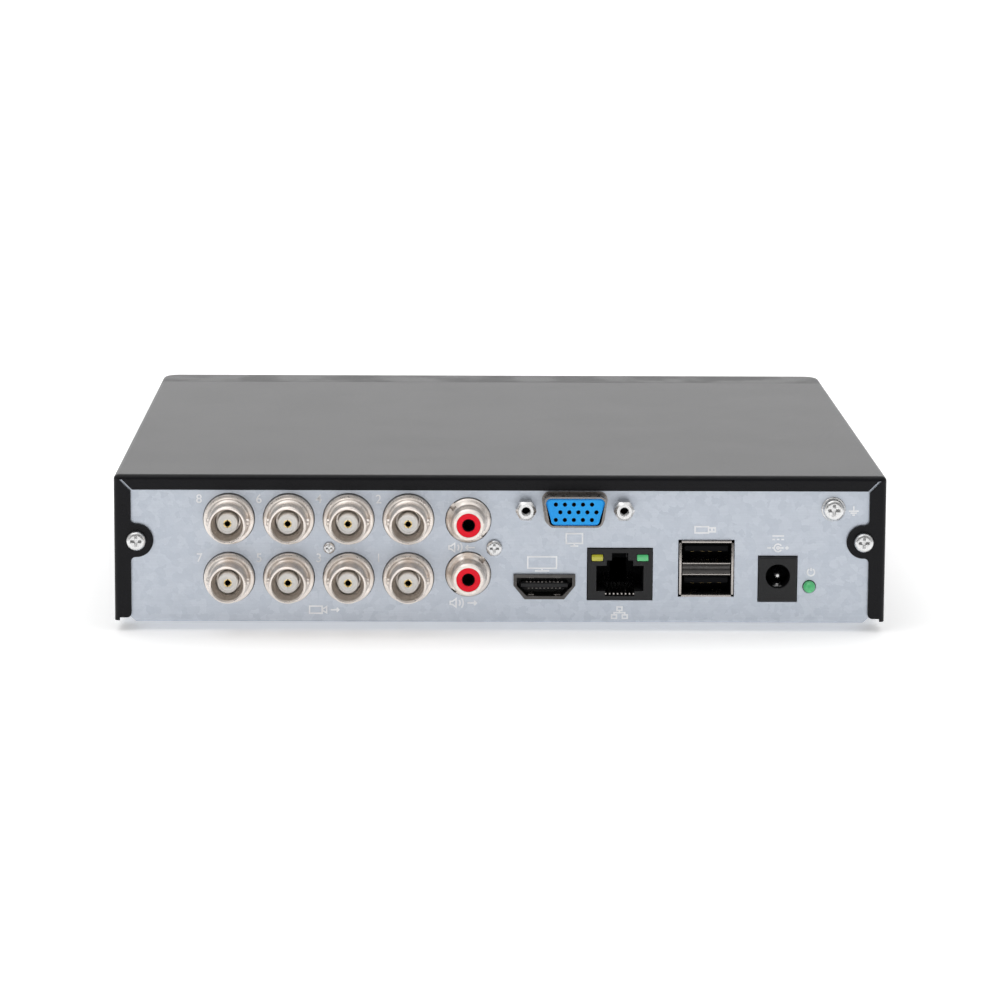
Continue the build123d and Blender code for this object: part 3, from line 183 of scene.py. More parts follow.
class ConnectorSettings(bpy.types.PropertyGroup):
    nickel: colour("Nickel", "Warm plating of the round sockets", (0.91, 0.84, 0.78))
    shell: colour("Shells", "Plating of the folded shells of the sockets", (0.50, 0.465, 0.44))
    steel: colour("Bright steel", "Plating of the folded shells and screws", (0.78, 0.78, 0.78))
    gold: colour("Gold", "Plating of the contacts", (0.90, 0.68, 0.30))
    insulator: colour("Insulator", "White plastic inside the camera sockets", (0.92, 0.90, 0.86))
    audio_insert: colour("Audio insert", "Plastic inside the audio sockets", (0.93, 0.004, 0.022))
    monitor_insert: colour("Monitor insert", "Plastic inside the monitor socket", (0.014, 0.38, 1.0))
    housing: colour("Housing", "Black plastic of the network and power sockets", (0.012, 0.012, 0.013))
    green_lens: colour("Green lens", "Tinted plastic of the green lamps", (0.09, 0.56, 0.20))
    yellow_lens: colour("Yellow lens", "Tinted plastic of the yellow lamp", (0.52, 0.50, 0.03))


class MarkSettings(bpy.types.PropertyGroup):
    ink: colour("Panel ink", "Printed marks on the panel", (0.93, 0.94, 0.96))
    front_ink: colour("Front ink", "Printed marks on the bezel", (0.55, 0.55, 0.55))
    digit_height: length("Digit height", "Height of the channel numbers", 0.0023)
    line: length("Line width", "Width of the lines in the printed marks", 0.00040)
    film: length("Ink thickness", "How far the ink stands off the surface", 0.00003)


class InsideSettings(bpy.types.PropertyGroup):
    board: colour("Board", "Solder mask of the circuit boards", (0.008, 0.085, 0.030))
    copper_track: colour("Tracks", "Solder mask over copper", (0.014, 0.140, 0.050))
    chip: colour("Chips", "Moulded epoxy of the chips", (0.016, 0.016, 0.017))
    cast: colour("Disk case", "Cast aluminium of the disk drive", (0.42, 0.43, 0.44))
    data_cable: colour("Data cable", "Jacket of the disk's data cable", (0.45, 0.012, 0.012))
    small_parts: IntProperty(name="Small parts", description="Resistors and capacitors on the main board",
                             default=150, min=0)
    lead_pitch: length("Lead pitch", "Distance between the leads of a chip", 0.0010)


SETTINGS = {
    "recorder_studio": StudioSettings,
    "recorder_case": CaseSettings,
    "recorder_connectors": ConnectorSettings,
    "recorder_marks": MarkSettings,
    "recorder_inside": InsideSettings,
}


# ---------------------------------------------------------------- node helpers
def add_node(tree, kind, inputs=None, **settings):
    """A new node with its settings and its inputs' plain values."""
    node = tree.nodes.new(kind)
    for key, value in settings.items():
        setattr(node, key, value)
    for key, value in (inputs or {}).items():
        node.inputs[key].default_value = value
    return node


def wire(tree, source, target):
    tree.links.new(source, target)


def arithmetic(tree, operation, first, second=None, third=None, clamp=False):
    """A Math node whose inputs are sockets or numbers, and its result."""
    node = add_node(tree, "ShaderNodeMath", operation=operation, use_clamp=clamp)
    for index, value in enumerate((first, second, third)):
        if value is None:
            continue
        if isinstance(value, (int, float)):
            node.inputs[index].default_value = value
        else:
            wire(tree, value, node.inputs[index])
    return node.outputs[0]


def ramp(tree, value, from_low, from_high, to_low=0.0, to_high=1.0):
    """value mapped smoothly from one range to another."""
    node = add_node(tree, "ShaderNodeMapRange", interpolation_type="SMOOTHSTEP")
    for key, number in (("From Min", from_low), ("From Max", from_high), ("To Min", to_low),
                        ("To Max", to_high)):
        if isinstance(number, (int, float)):
            node.inputs[key].default_value = number
        else:
            wire(tree, number, node.inputs[key])
    wire(tree, value, node.inputs["Value"])
    return node.outputs["Result"]


def blend_colours(tree, mask, first, second):
    """The colour that goes from first to second as mask goes from 0 to 1."""
    node = add_node(tree, "ShaderNodeMix", data_type="RGBA")
    wire(tree, mask, node.inputs["Factor"])
    for name, value in (("A", first), ("B", second)):
        target = [s for s in node.inputs if s.name == name and s.type == "RGBA"][0]
        if isinstance(value, bpy.types.NodeSocket):
            wire(tree, value, target)
        else:
            target.default_value = (*value, 1.0)
    return [s for s in node.outputs if s.type == "RGBA"][0]


def scaled_place(tree, size):
    """The place on the object divided by a size socket, so one unit is one grain."""
    coordinates = add_node(tree, "ShaderNodeTexCoord")
    node = add_node(tree, "ShaderNodeVectorMath", operation="SCALE")
    wire(tree, coordinates.outputs["Object"], node.inputs[0])
    wire(tree, arithmetic(tree, "DIVIDE", 1.0, size), node.inputs["Scale"])
    return node.outputs[0]


def effect(name, inputs, outputs):
    """A new shader node group with named sockets, and its input and output nodes."""
    group = bpy.data.node_groups.new(name, "ShaderNodeTree")
    kinds = {"float": "NodeSocketFloat", "vector": "NodeSocketVector", "colour": "NodeSocketColor"}
    for label, kind, default in inputs:
        socket = group.interface.new_socket(name=label, in_out="INPUT", socket_type=kinds[kind])
        socket.default_value = default
    for label, kind in outputs:
        group.interface.new_socket(name=label, in_out="OUTPUT", socket_type=kinds[kind])
    return group, add_node(group, "NodeGroupInput").outputs, add_node(group, "NodeGroupOutput").inputs


# ---------------------------------------------------------------- effects shared by the materials
def grain_effect():
    """Rounded grains of a powder coat or a moulded surface, with slow mottling."""
    tree, given, result = effect("surface_grain",
                                 [("Size", "float", 0.0004), ("Mottle size", "float", 0.02)],
                                 [("Height", "float"), ("Mottle", "float")])
    fine = add_node(tree, "ShaderNodeTexNoise", {"Scale": 1.0, "Detail": 2.0, "Roughness": 0.55})
    wire(tree, scaled_place(tree, given["Size"]), fine.inputs["Vector"])
    slow = add_node(tree, "ShaderNodeTexNoise", {"Scale": 1.0, "Detail": 3.0, "Roughness": 0.5})
    wire(tree, scaled_place(tree, given["Mottle size"]), slow.inputs["Vector"])
    wire(tree, ramp(tree, fine.outputs["Fac"], 0.28, 0.72), result["Height"])
    wire(tree, ramp(tree, slow.outputs["Fac"], 0.30, 0.70), result["Mottle"])
    return tree


def spangle_effect():
    """Crystals of a zinc coating: flat patches with wandering borders, each a little lighter or darker."""
    tree, given, result = effect("zinc_spangle", [("Size", "float", 0.004)],
                                 [("Tone", "float"), ("Height", "float")])
    place = scaled_place(tree, given["Size"])
    wander = add_node(tree, "ShaderNodeTexNoise", {"Scale": 2.2, "Detail": 3.0})
    wire(tree, place, wander.inputs["Vector"])
    shift = add_node(tree, "ShaderNodeVectorMath", operation="SCALE")
    shift.inputs["Scale"].default_value = 0.75
    wire(tree, wander.outputs["Color"], shift.inputs[0])
    moved = add_node(tree, "ShaderNodeVectorMath", operation="ADD")
    wire(tree, place, moved.inputs[0])
    wire(tree, shift.outputs[0], moved.inputs[1])
    cells = add_node(tree, "ShaderNodeTexVoronoi", {"Scale": 1.0})
    wire(tree, moved.outputs[0], cells.inputs["Vector"])
    patch = add_node(tree, "ShaderNodeSeparateColor")
    wire(tree, cells.outputs["Color"], patch.inputs[0])
    frost = add_node(tree, "ShaderNodeTexNoise", {"Scale": 9.0, "Detail": 4.0, "Roughness": 0.65})
    wire(tree, place, frost.inputs["Vector"])
    patch_share = 0.62
    frosted = arithmetic(tree, "MULTIPLY", frost.outputs["Fac"], 1.0 - patch_share)
    tone = arithmetic(tree, "MULTIPLY_ADD", patch.outputs[0], patch_share, frosted)
    wire(tree, tone, result["Tone"])
    wire(tree, frost.outputs["Fac"], result["Height"])
    return tree


def brushed_effect():
    """Fine lines drawn along one direction, or turned rings where the stretch runs round an axis."""
    tree, given, result = effect("drawn_lines", [("Stretch", "vector", (200.0, 8000.0, 200.0))],
                                 [("Height", "float"), ("Tone", "float")])
    coordinates = add_node(tree, "ShaderNodeTexCoord")
    stretched = add_node(tree, "ShaderNodeVectorMath", operation="MULTIPLY")
    wire(tree, coordinates.outputs["Object"], stretched.inputs[0])
    wire(tree, given["Stretch"], stretched.inputs[1])
    lines = add_node(tree, "ShaderNodeTexNoise", {"Scale": 1.0, "Detail": 3.0, "Roughness": 0.6})
    wire(tree, stretched.outputs[0], lines.inputs["Vector"])
    wire(tree, lines.outputs["Fac"], result["Height"])
    wire(tree, ramp(tree, lines.outputs["Fac"], 0.35, 0.65), result["Tone"])
    return tree


def wear_effect():
    """A mask of what is rubbed along a box's edges: 1 at an edge, 0 beyond the width, broken up by noise."""
    tree, given, result = effect("edge_rub", [("Low", "vector", (0, 0, 0)), ("High", "vector", (1, 1, 1)),
                                             ("Width", "float", 0.001), ("Break up", "float", 0.006)],
                                 [("Mask", "float")])
    coordinates = add_node(tree, "ShaderNodeTexCoord")
    sources = {"place": coordinates.outputs["Object"], "Low": given["Low"], "High": given["High"]}
    distances = []
    for first, second in (("place", "Low"), ("High", "place")):
        node = add_node(tree, "ShaderNodeVectorMath", operation="SUBTRACT")
        wire(tree, sources[first], node.inputs[0])
        wire(tree, sources[second], node.inputs[1])
        distances.append(node.outputs[0])
    nearest = add_node(tree, "ShaderNodeVectorMath", operation="MINIMUM")
    wire(tree, distances[0], nearest.inputs[0])
    wire(tree, distances[1], nearest.inputs[1])
    apart = add_node(tree, "ShaderNodeSeparateXYZ")
    wire(tree, nearest.outputs[0], apart.inputs[0])
    x, y, z = apart.outputs
    second_least = arithmetic(tree, "MAXIMUM", arithmetic(tree, "MINIMUM", x, y),
                              arithmetic(tree, "MINIMUM", arithmetic(tree, "MAXIMUM", x, y), z))
    near = ramp(tree, second_least, 0.0, given["Width"], 1.0, 0.0)
    broken = add_node(tree, "ShaderNodeTexNoise", {"Scale": 1.0, "Detail": 4.0, "Roughness": 0.65})
    wire(tree, scaled_place(tree, given["Break up"]), broken.inputs["Vector"])
    wire(tree, arithmetic(tree, "MULTIPLY", near, ramp(tree, broken.outputs["Fac"], 0.42, 0.66)),
         result["Mask"])
    return tree


def dust_effect():
    """A mask of the thin dust that settles on what faces up."""
    tree, given, result = effect("settled_dust", [("Amount", "float", 0.3)], [("Mask", "float")])
    geometry = add_node(tree, "ShaderNodeNewGeometry")
    apart = add_node(tree, "ShaderNodeSeparateXYZ")
    wire(tree, geometry.outputs["Normal"], apart.inputs[0])
    specks = add_node(tree, "ShaderNodeTexNoise", {"Scale": 900.0, "Detail": 4.0, "Roughness": 0.7})
    clouds = add_node(tree, "ShaderNodeTexNoise", {"Scale": 28.0, "Detail": 3.0})
    coordinates = add_node(tree, "ShaderNodeTexCoord")
    for texture in (specks, clouds):
        wire(tree, coordinates.outputs["Object"], texture.inputs["Vector"])
    cover = arithmetic(tree, "MULTIPLY", ramp(tree, specks.outputs["Fac"], 0.5, 0.75),
                       ramp(tree, clouds.outputs["Fac"], 0.35, 0.7))
    upward = ramp(tree, apart.outputs["Z"], 0.6, 1.0)
    wire(tree, arithmetic(tree, "MULTIPLY", arithmetic(tree, "MULTIPLY", cover, upward), given["Amount"]),
         result["Mask"])
    return tree


def track_effect():
    """Copper tracks under a board's solder mask: straight runs on a grid, broken into short lengths."""
    tree, given, result = effect("circuit_tracks", [("Pitch", "float", 0.0012)],
                                 [("Mask", "float"), ("Height", "float")])
    place = scaled_place(tree, given["Pitch"])
    apart = add_node(tree, "ShaderNodeSeparateXYZ")
    wire(tree, place, apart.inputs[0])
    half_line, runs_per_pitch, gap_share, seed_step = 0.17, 0.085, 0.52, 3.7
    masks = []
    for along, across in ((0, 1), (1, 0)):
        saw = arithmetic(tree, "FRACT", apart.outputs[across])
        offset = arithmetic(tree, "ABSOLUTE", arithmetic(tree, "SUBTRACT", saw, 0.5))
        line = arithmetic(tree, "LESS_THAN", offset, half_line)
        cell = add_node(tree, "ShaderNodeCombineXYZ")
        run = arithmetic(tree, "MULTIPLY", apart.outputs[along], runs_per_pitch)
        wire(tree, arithmetic(tree, "FLOOR", run), cell.inputs[0])
        wire(tree, arithmetic(tree, "FLOOR", apart.outputs[across]), cell.inputs[1])
        cell.inputs[2].default_value = seed_step * (along + 1)
        chance = add_node(tree, "ShaderNodeTexWhiteNoise")
        wire(tree, cell.outputs[0], chance.inputs["Vector"])
        kept = arithmetic(tree, "GREATER_THAN", chance.outputs["Value"], gap_share)
        masks.append(arithmetic(tree, "MULTIPLY", line, kept))
    region = add_node(tree, "ShaderNodeTexNoise", {"Scale": 0.09, "Detail": 1.0})
    wire(tree, place, region.inputs["Vector"])
    choose = arithmetic(tree, "GREATER_THAN", region.outputs["Fac"], 0.5)
    first = arithmetic(tree, "MULTIPLY", masks[0], choose)
    second = arithmetic(tree, "MULTIPLY", masks[1], arithmetic(tree, "SUBTRACT", 1.0, choose))
    mask = arithmetic(tree, "MAXIMUM", first, second)
    wire(tree, mask, result["Mask"])
    wire(tree, mask, result["Height"])
    return tree


EFFECTS = {}


def build_effects():
    """Builds each shared effect once."""
    makers = {"grain": grain_effect, "spangle": spangle_effect, "lines": brushed_effect, "rub": wear_effect,
              "dust": dust_effect, "tracks": track_effect}
    for name, maker in makers.items():
        EFFECTS[name] = maker()


# ---------------------------------------------------------------- materials
class Finish:
    """A material in the making: its tree, its shader, and what its effects feed."""

    def __init__(self, name, base, roughness, **constants):
        self.material = bpy.data.materials.new(name)
        self.material.use_nodes = True
        self.tree = self.material.node_tree
        self.shader = self.tree.nodes["Principled BSDF"]
        self.material.diffuse_color = (*base, 1.0)
        self.colour = tuple(base)
        self.shader.inputs["Base Color"].default_value = (*base, 1.0)
        self.shader.inputs["Roughness"].default_value = roughness
        for key, value in constants.items():
            self.shader.inputs[key.replace("_", " ")].default_value = value

    def use(self, name, **values):
        """Places a shared effect with its own values and gives its outputs."""
        node = add_node(self.tree, "ShaderNodeGroup", node_tree=EFFECTS[name])
        for key, value in values.items():
            node.inputs[key.replace("_", " ")].default_value = value
        return node.outputs

    def tint(self, mask, colour_to, strength=1.0):
        """Turns the base colour towards another where the mask is."""
        if strength < 1.0:
            mask = arithmetic(self.tree, "MULTIPLY", mask, strength)
        self.colour = blend_colours(self.tree, mask, self.colour, colour_to)
        wire(self.tree, self.colour, self.shader.inputs["Base Color"])

    def roughen(self, value, lowest, highest):
        wire(self.tree, ramp(self.tree, value, 0.0, 1.0, lowest, highest), self.shader.inputs["Roughness"])

    def bump(self, *layers):
        """Raises the surface: each layer is a height socket and its depth in metres."""
        normal = None
        for height, depth in layers:
            node = add_node(self.tree, "ShaderNodeBump", {"Strength": 1.0, "Distance": depth})
            wire(self.tree, height, node.inputs["Height"])
            if normal:
                wire(self.tree, normal, node.inputs["Normal"])
            normal = node.outputs["Normal"]
        wire(self.tree, normal, self.shader.inputs["Normal"])


FINISHES = {}


def finish(name):
    return FINISHES[name]


def dress(node, *names):
    """Gives a CAD node its finish, or one finish for each of its material slots."""
    target = NODES[node]
    target.data.materials.clear()
    for name in names:
        target.data.materials.append(finish(name))


def shade(base, scale, lift=0.0):
    """The colour scaled and lifted, with no channel past 1."""
    return tuple(min(1.0, channel * scale + lift) for channel in base)


def painted_steel(case):
    paint = Finish("black_powder_coat", case.paint, 0.34, Specular_IOR_Level=0.20)
    grain = paint.use("grain", Size=case.paint_grain, Mottle_size=0.03)
    rubbed = paint.use("rub", Low=low("top_cover"), High=high("top_cover"), Width=case.edge_wear,
                       Break_up=0.005)
    dust = paint.use("dust", Amount=0.10)
    paint.tint(rubbed["Mask"], case.paint_worn, 0.2)
    paint.tint(dust["Mask"], (0.30, 0.29, 0.27))
    paint.roughen(grain["Mottle"], 0.335, 0.345)
    paint.bump((grain["Height"], 0.000022))
    return paint.material


def zinc_plate(case):
    zinc = Finish("spangled_zinc", case.zinc_dark, 0.38, Metallic=1.0)
    crystals = zinc.use("spangle", Size=case.spangle)
    grain = zinc.use("grain", Size=0.0009, Mottle_size=0.05)
    rolled = zinc.use("lines", Stretch=(40.0, 1500.0, 2600.0))
    zinc.tint(crystals["Tone"], case.zinc_light)
    zinc.tint(rolled["Tone"], case.zinc_dark, 0.18)
    zinc.roughen(crystals["Tone"], 0.38, 0.46)
    zinc.bump((crystals["Height"], 0.000012), (grain["Height"], 0.000010))
    return zinc.material


def plated(name, base, roughness, stretch, spread=0.07):
    """Bright plating over turned or drawn metal."""
    metal = Finish(name, base, roughness, Metallic=1.0)
    lines = metal.use("lines", Stretch=stretch)
    grain = metal.use("grain", Size=0.0006, Mottle_size=0.004)
    metal.tint(grain["Mottle"], shade(base, 0.86), 0.5)
    metal.roughen(lines["Tone"], roughness - spread, roughness + spread)
    metal.bump((lines["Height"], 0.000006))
    return metal.material


def moulded(name, base, roughness, grain_size=0.0003, depth=0.000012, **constants):
    """Moulded plastic: a fine grain, slow mottling and a little dust on what faces up."""
    plastic = Finish(name, base, roughness, **constants)
    grain = plastic.use("grain", Size=grain_size, Mottle_size=0.012)
    dust = plastic.use("dust", Amount=0.12)
    plastic.tint(grain["Mottle"], shade(base, 1.22, lift=0.002), 0.55)
    plastic.tint(dust["Mask"], (0.32, 0.31, 0.29))
    plastic.roughen(grain["Mottle"], roughness - 0.05, roughness + 0.06)
    plastic.bump((grain["Height"], depth))
    return plastic.material


def tinted_lens(name, base):
    lens = Finish(name, base, 0.16, Coat_Weight=0.6, Coat_Roughness=0.05)
    grain = lens.use("grain", Size=0.0007, Mottle_size=0.002)
    lens.tint(grain["Mottle"], shade(base, 1.35, lift=0.02), 0.6)
    lens.roughen(grain["Mottle"], 0.12, 0.22)
    lens.bump((grain["Height"], 0.000004))
    return lens.material


def circuit_board(inside):
    board = Finish("solder_mask", inside.board, 0.34, Coat_Weight=0.25, Coat_Roughness=0.2)
    tracks = board.use("tracks", Pitch=0.0011)
    grain = board.use("grain", Size=0.0005, Mottle_size=0.02)
    board.tint(tracks["Mask"], inside.copper_track)
    board.tint(grain["Mottle"], shade(inside.board, 0.75), 0.3)
    board.roughen(grain["Mottle"], 0.30, 0.40)
    board.bump((tracks["Height"], 0.000018), (grain["Height"], 0.000006))
    return board.material


def printed_ink(name, base, **constants):
    ink = Finish(name, base, 0.55, **constants)
    grain = ink.use("grain", Size=0.00025, Mottle_size=0.002)
    ink.tint(grain["Mottle"], shade(base, 0.9), 0.5)
    ink.roughen(grain["Mottle"], 0.48, 0.62)
    ink.bump((grain["Height"], 0.000004))
    return ink.material


def build_finishes(scene):
    case, connectors = scene.recorder_case, scene.recorder_connectors
    marks, inside = scene.recorder_marks, scene.recorder_inside
    turned, drawn = (900.0, 16000.0, 900.0), (2500.0, 300.0, 2500.0)
    FINISHES.update({
        "paint": painted_steel(case),
        "zinc": zinc_plate(case),
        "bezel": moulded("bezel_plastic", case.bezel, roughness=0.46, grain_size=0.00045, depth=0.000030),
        "rubber": moulded("foot_rubber", case.rubber, roughness=0.72, grain_size=0.0004, depth=0.000030),
        "window": moulded("smoked_window", (0.008, 0.008, 0.010), roughness=0.10, grain_size=0.002,
                          depth=0.000002, Coat_Weight=0.5),
        "nickel": plated("warm_nickel", connectors.nickel, roughness=0.34, stretch=turned),
        "steel": plated("bright_steel", connectors.steel, roughness=0.24, stretch=drawn),
        "shell": plated("shell_plating", connectors.shell, roughness=0.24, stretch=drawn),
        # The shell plating at about half its brightness and rougher, for the monitor socket's shell: the
        # darkening is painted shade.
        "shell_painted_shade": plated("plating_with_painted_shade", shade(connectors.shell, 0.52), roughness=0.32,
                             stretch=(900.0, 300.0, 900.0)),
        "screw": plated("screw_plating", connectors.steel, roughness=0.28, stretch=(3000.0, 3000.0, 3000.0)),
        "gold": plated("gold_flash", connectors.gold, roughness=0.24, stretch=(1500.0, 6000.0, 1500.0)),
        "insulator": moulded("insulator_white", connectors.insulator, roughness=0.40, grain_size=0.0006),
        "audio_red": moulded("audio_red", connectors.audio_insert, roughness=0.45, grain_size=0.0008,
                             depth=0.000006, Specular_IOR_Level=0.25),
        "monitor_blue": moulded("monitor_blue", connectors.monitor_insert, roughness=0.45,
                                grain_size=0.0004, depth=0.000008, Specular_IOR_Level=0.3),
        "housing": moulded("black_housing", connectors.housing, roughness=0.40, grain_size=0.0004,
                           Specular_IOR_Level=0.35),
        "green_lens": tinted_lens("green_lens", connectors.green_lens),
        "yellow_lens": tinted_lens("yellow_lens", connectors.yellow_lens),
        "ink": printed_ink("panel_ink", marks.ink, Metallic=0.9),
        "front_ink": printed_ink("front_ink", marks.front_ink),
        "board": circuit_board(inside),
        "chip": moulded("chip_epoxy", inside.chip, roughness=0.48, grain_size=0.0002),
        "aluminium": plated("satin_aluminium", (0.64, 0.65, 0.66), roughness=0.36,
                            stretch=(300.0, 5000.0, 300.0)),
        "can": plated("capacitor_can", (0.70, 0.71, 0.73), roughness=0.30, stretch=(800.0, 800.0, 9000.0)),
        "cast": moulded("cast_case", inside.cast, roughness=0.50, grain_size=0.0007, depth=0.000040,
                        Metallic=0.9),
        "lid": plated("lid_stainless", (0.50, 0.51, 0.52), roughness=0.30, stretch=(120.0, 6000.0, 120.0)),
        "mirror": plated("platter_mirror", (0.58, 0.58, 0.60), roughness=0.05, stretch=(5.0, 5.0, 5.0),
                         spread=0.004),
        "data_jacket": moulded("data_cable_jacket", inside.data_cable, roughness=0.42, grain_size=0.0005),
        "wire_jacket": moulded("wire_jacket", (0.02, 0.02, 0.02), roughness=0.40, grain_size=0.0005),
        "ribbon": moulded("ribbon_jacket", (0.62, 0.62, 0.60), roughness=0.50, grain_size=0.0004),
        "white": moulded("lamp_white", (0.80, 0.80, 0.76), roughness=0.30, grain_size=0.0006),
        # Near black and rough: the real black of the data tongues and the capacitor bands, and painted shade
        # where it lines wells, holes and cavities.
        "dark": moulded("black_and_painted_shade", (0.005, 0.005, 0.006), roughness=0.70, grain_size=0.0004,
                        Specular_IOR_Level=0.1),
        # Steel at about an eighth of the bright steel's brightness: painted shade on the digital socket's
        # shell and the data sockets' middle bar.
        "painted_shade_steel": plated("shaded_steel", (0.10, 0.095, 0.092), roughness=0.34,
                             stretch=(400.0, 3000.0, 3000.0)),
        "tin": plated("tinned_leads", (0.72, 0.72, 0.71), roughness=0.34, stretch=(3000.0, 3000.0, 3000.0)),
        "ceramic": moulded("ceramic_body", (0.36, 0.24, 0.13), roughness=0.42, grain_size=0.0003),
        "paper": moulded("blank_label", (0.62, 0.62, 0.60), roughness=0.60, grain_size=0.0004),
        "amber": moulded("amber_film", (0.42, 0.16, 0.02), roughness=0.30, grain_size=0.0004),
    })


CAD_FINISHES = {
    "paint": ("top_cover",),
    "zinc": ("base_tray",),
    "bezel": ("front_bezel",),
    "window": ("light_window",),
    "rubber": ("rubber_feet",),
    "nickel": ("bnc_shells_1_2", "bnc_shells_3_4", "bnc_shells_5_6", "bnc_shells_7_8", "audio_in_shell",
               "audio_out_shell"),
    "shell": ("data_port_shell", "network_contacts"),
    # The next two finishes paint shade onto the monitor and the digital socket's shells.
    "shell_painted_shade": ("monitor_port_shell",),
    "painted_shade_steel": ("digital_port_shell",),
    "dark": ("data_port_tongues",),
    "steel": ("power_jack_pin",),
    "screw": ("cover_screws", "connector_screws", "ground_screw", "monitor_port_posts", "board_standoffs",
              "board_screws",
              "disk_lid_screws", "disk_screws", "disk_magnets"),
    "gold": ("bnc_contacts",),
    "insulator": ("bnc_insulators",),
    "audio_red": ("audio_inserts",),
    "monitor_blue": ("monitor_port_insert",),
    "housing": ("bnc_blocks", "audio_block", "monitor_port_block", "digital_port_tongue", "network_jack",
                "power_jack", "battery_holder", "buzzer", "cable_plugs", "board_sockets",
                "disk_sockets"),
    "yellow_lens": ("network_lights",),
    "green_lens": ("power_light",),
    "board": ("main_board", "front_board", "disk_board"),
    "chip": ("board_chips", "board_inductors"),
    "aluminium": ("heat_sink", "disk_hub", "disk_arm"),
    "can": ("board_capacitors",),
    "cast": ("disk_case",),
    "lid": ("disk_lid", "clock_battery"),
    "mirror": ("disk_platters",),
    "data_jacket": ("disk_data_cable",),
    "wire_jacket": ("disk_power_wires",),
    "ribbon": ("front_cable",),
    "white": ("front_lights",),
}


# ---------------------------------------------------------------- mesh helpers
def mesh_object(name, build, finish_name, body="case", replaced=(), smooth=True):
    """A piece from a function that fills a bmesh, riding on a body."""
    mesh = bpy.data.meshes.new(name)
    shape = bmesh.new()
    build(shape)
    bmesh.ops.recalc_face_normals(shape, faces=shape.faces)
    shape.to_mesh(mesh)
    shape.free()
    piece = bpy.data.objects.new(name, mesh)
    bpy.context.scene.collection.objects.link(piece)
    mesh.materials.append(finish(finish_name))
    if smooth:
        mesh.shade_smooth()
        mesh.set_sharp_from_angle(angle=SMOOTH_ANGLE)
    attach(piece, body)
    if replaced:
        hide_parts(*replaced)
    return piece


def add_box(shape, corner, opposite, bevel=0.0):
    """A box between two corners, with its edges rounded off if bevel is given."""
    first, second = Vector(corner), Vector(opposite)
    size = [abs(a - b) for a, b in zip(first, second)]
    place = Matrix.Translation((first + second) / 2) @ Matrix.Diagonal((*size, 1.0))
    made = bmesh.ops.create_cube(shape, size=1.0, matrix=place)
    if bevel:
        edges = {edge for vertex in made["verts"] for edge in vertex.link_edges}
        bmesh.ops.bevel(shape, geom=list(edges), offset=bevel, segments=2, affect="EDGES", profile=0.5)


def add_lathe(shape, centre, axis_turn, outline, segments=64):
    """A closed outline of (radius, height) turned about an axis: +Z, or another way by axis_turn."""
    rings = []
    for radius, height in outline:
        ring = []
        for step in range(segments if radius > 1e-7 else 1):
            turn = 2 * math.pi * step / segments
            place = axis_turn @ Vector((radius * math.cos(turn), radius * math.sin(turn), height))
            ring.append(shape.verts.new(Vector(centre) + place))
        rings.append(ring)
    for index, ring in enumerate(rings):
        other = rings[(index + 1) % len(rings)]
        if len(ring) == 1 and len(other) == 1:
            continue
        for step in range(segments):
            following = (step + 1) % segments
            corners = [ring[step % len(ring)], ring[following % len(ring)], other[following % len(other)],
                       other[step % len(other)]]
            unique = list(dict.fromkeys(corners))
            if len(unique) > 2:
                shape.faces.new(unique)


def add_prism(shape, outline, place, thickness):
    """A flat outline of 2-D points raised by a thickness: place turns (u, v, w) into the row frame."""
    bottom = [shape.verts.new(place @ Vector((u, v, 0.0))) for u, v in outline]
    top = [shape.verts.new(place @ Vector((u, v, thickness))) for u, v in outline]
    shape.faces.new(bottom)
    shape.faces.new(list(reversed(top)))
    for index in range(len(outline)):
        following = (index + 1) % len(outline)
        shape.faces.new([bottom[index], top[index], top[following], bottom[following]])


def facing_back(x, z, y=PANEL_Y):
    """A sheet on the panel: u runs to the viewer's right (-X), v up, and thickness out of the back."""
    return Matrix(((-1, 0, 0, x), (0, 0, 1, y), (0, 1, 0, z), (0, 0, 0, 1)))


def facing_front(x, z, y):
    """A sheet on the front: u runs to the right of someone in front (+X), v up, and thickness towards -Y."""
    return Matrix(((1, 0, 0, x), (0, 0, -1, y), (0, 1, 0, z), (0, 0, 0, 1)))


TO_BACK = Matrix.Rotation(-math.pi / 2, 3, "X")         # turns +Z to +Y
UPRIGHT = Matrix.Identity(3)                            # leaves +Z up


# ---------------------------------------------------------------- printed marks
def stroke(shape, place, points, width, thickness):
    """A line of even width through 2-D points, mitred at corners and closed if it ends where it starts."""
    closed = math.dist(points[0], points[-1]) < 0.001 * MM
    path = [Vector(point) for point in (points[:-1] if closed else points)]
    count = len(path)
    sides = []
    for index, point in enumerate(path):
        before = path[index - 1] if closed or index else None
        after = path[(index + 1) % count] if closed or index + 1 < count else None
        ways = [(second - first).normalized() for first, second in ((before, point), (point, after))
                if first is not None and second is not None]
        along = sum(ways, Vector((0.0, 0.0))).normalized()
        reach = width / 2 / max(0.5, along.dot(ways[0]))
        sides.append([point + Vector((-along.y, along.x)) * reach * side for side in (-1, 1)])
    rings = [[shape.verts.new(place @ Vector((*corner, height))) for corner, height in (
        (right, 0.0), (right, thickness), (left, thickness), (left, 0.0))] for right, left in sides]
    for index in range(count if closed else count - 1):
        ring, following = rings[index], rings[(index + 1) % count]
        for corner in range(4):
            shape.faces.new([ring[corner - 1], ring[corner], following[corner], following[corner - 1]])
    if not closed:
        shape.faces.new(rings[0])
        shape.faces.new(list(reversed(rings[-1])))


def ring_points(radius, start=0.0, end=360.0, steps=28, centre=(0.0, 0.0)):
    """Points round an arc, angles in degrees from the right, anticlockwise."""
    return [(centre[0] + radius * math.cos(math.radians(start + (end - start) * i / steps)),
             centre[1] + radius * math.sin(math.radians(start + (end - start) * i / steps)))
             for i in range(steps + 1)]


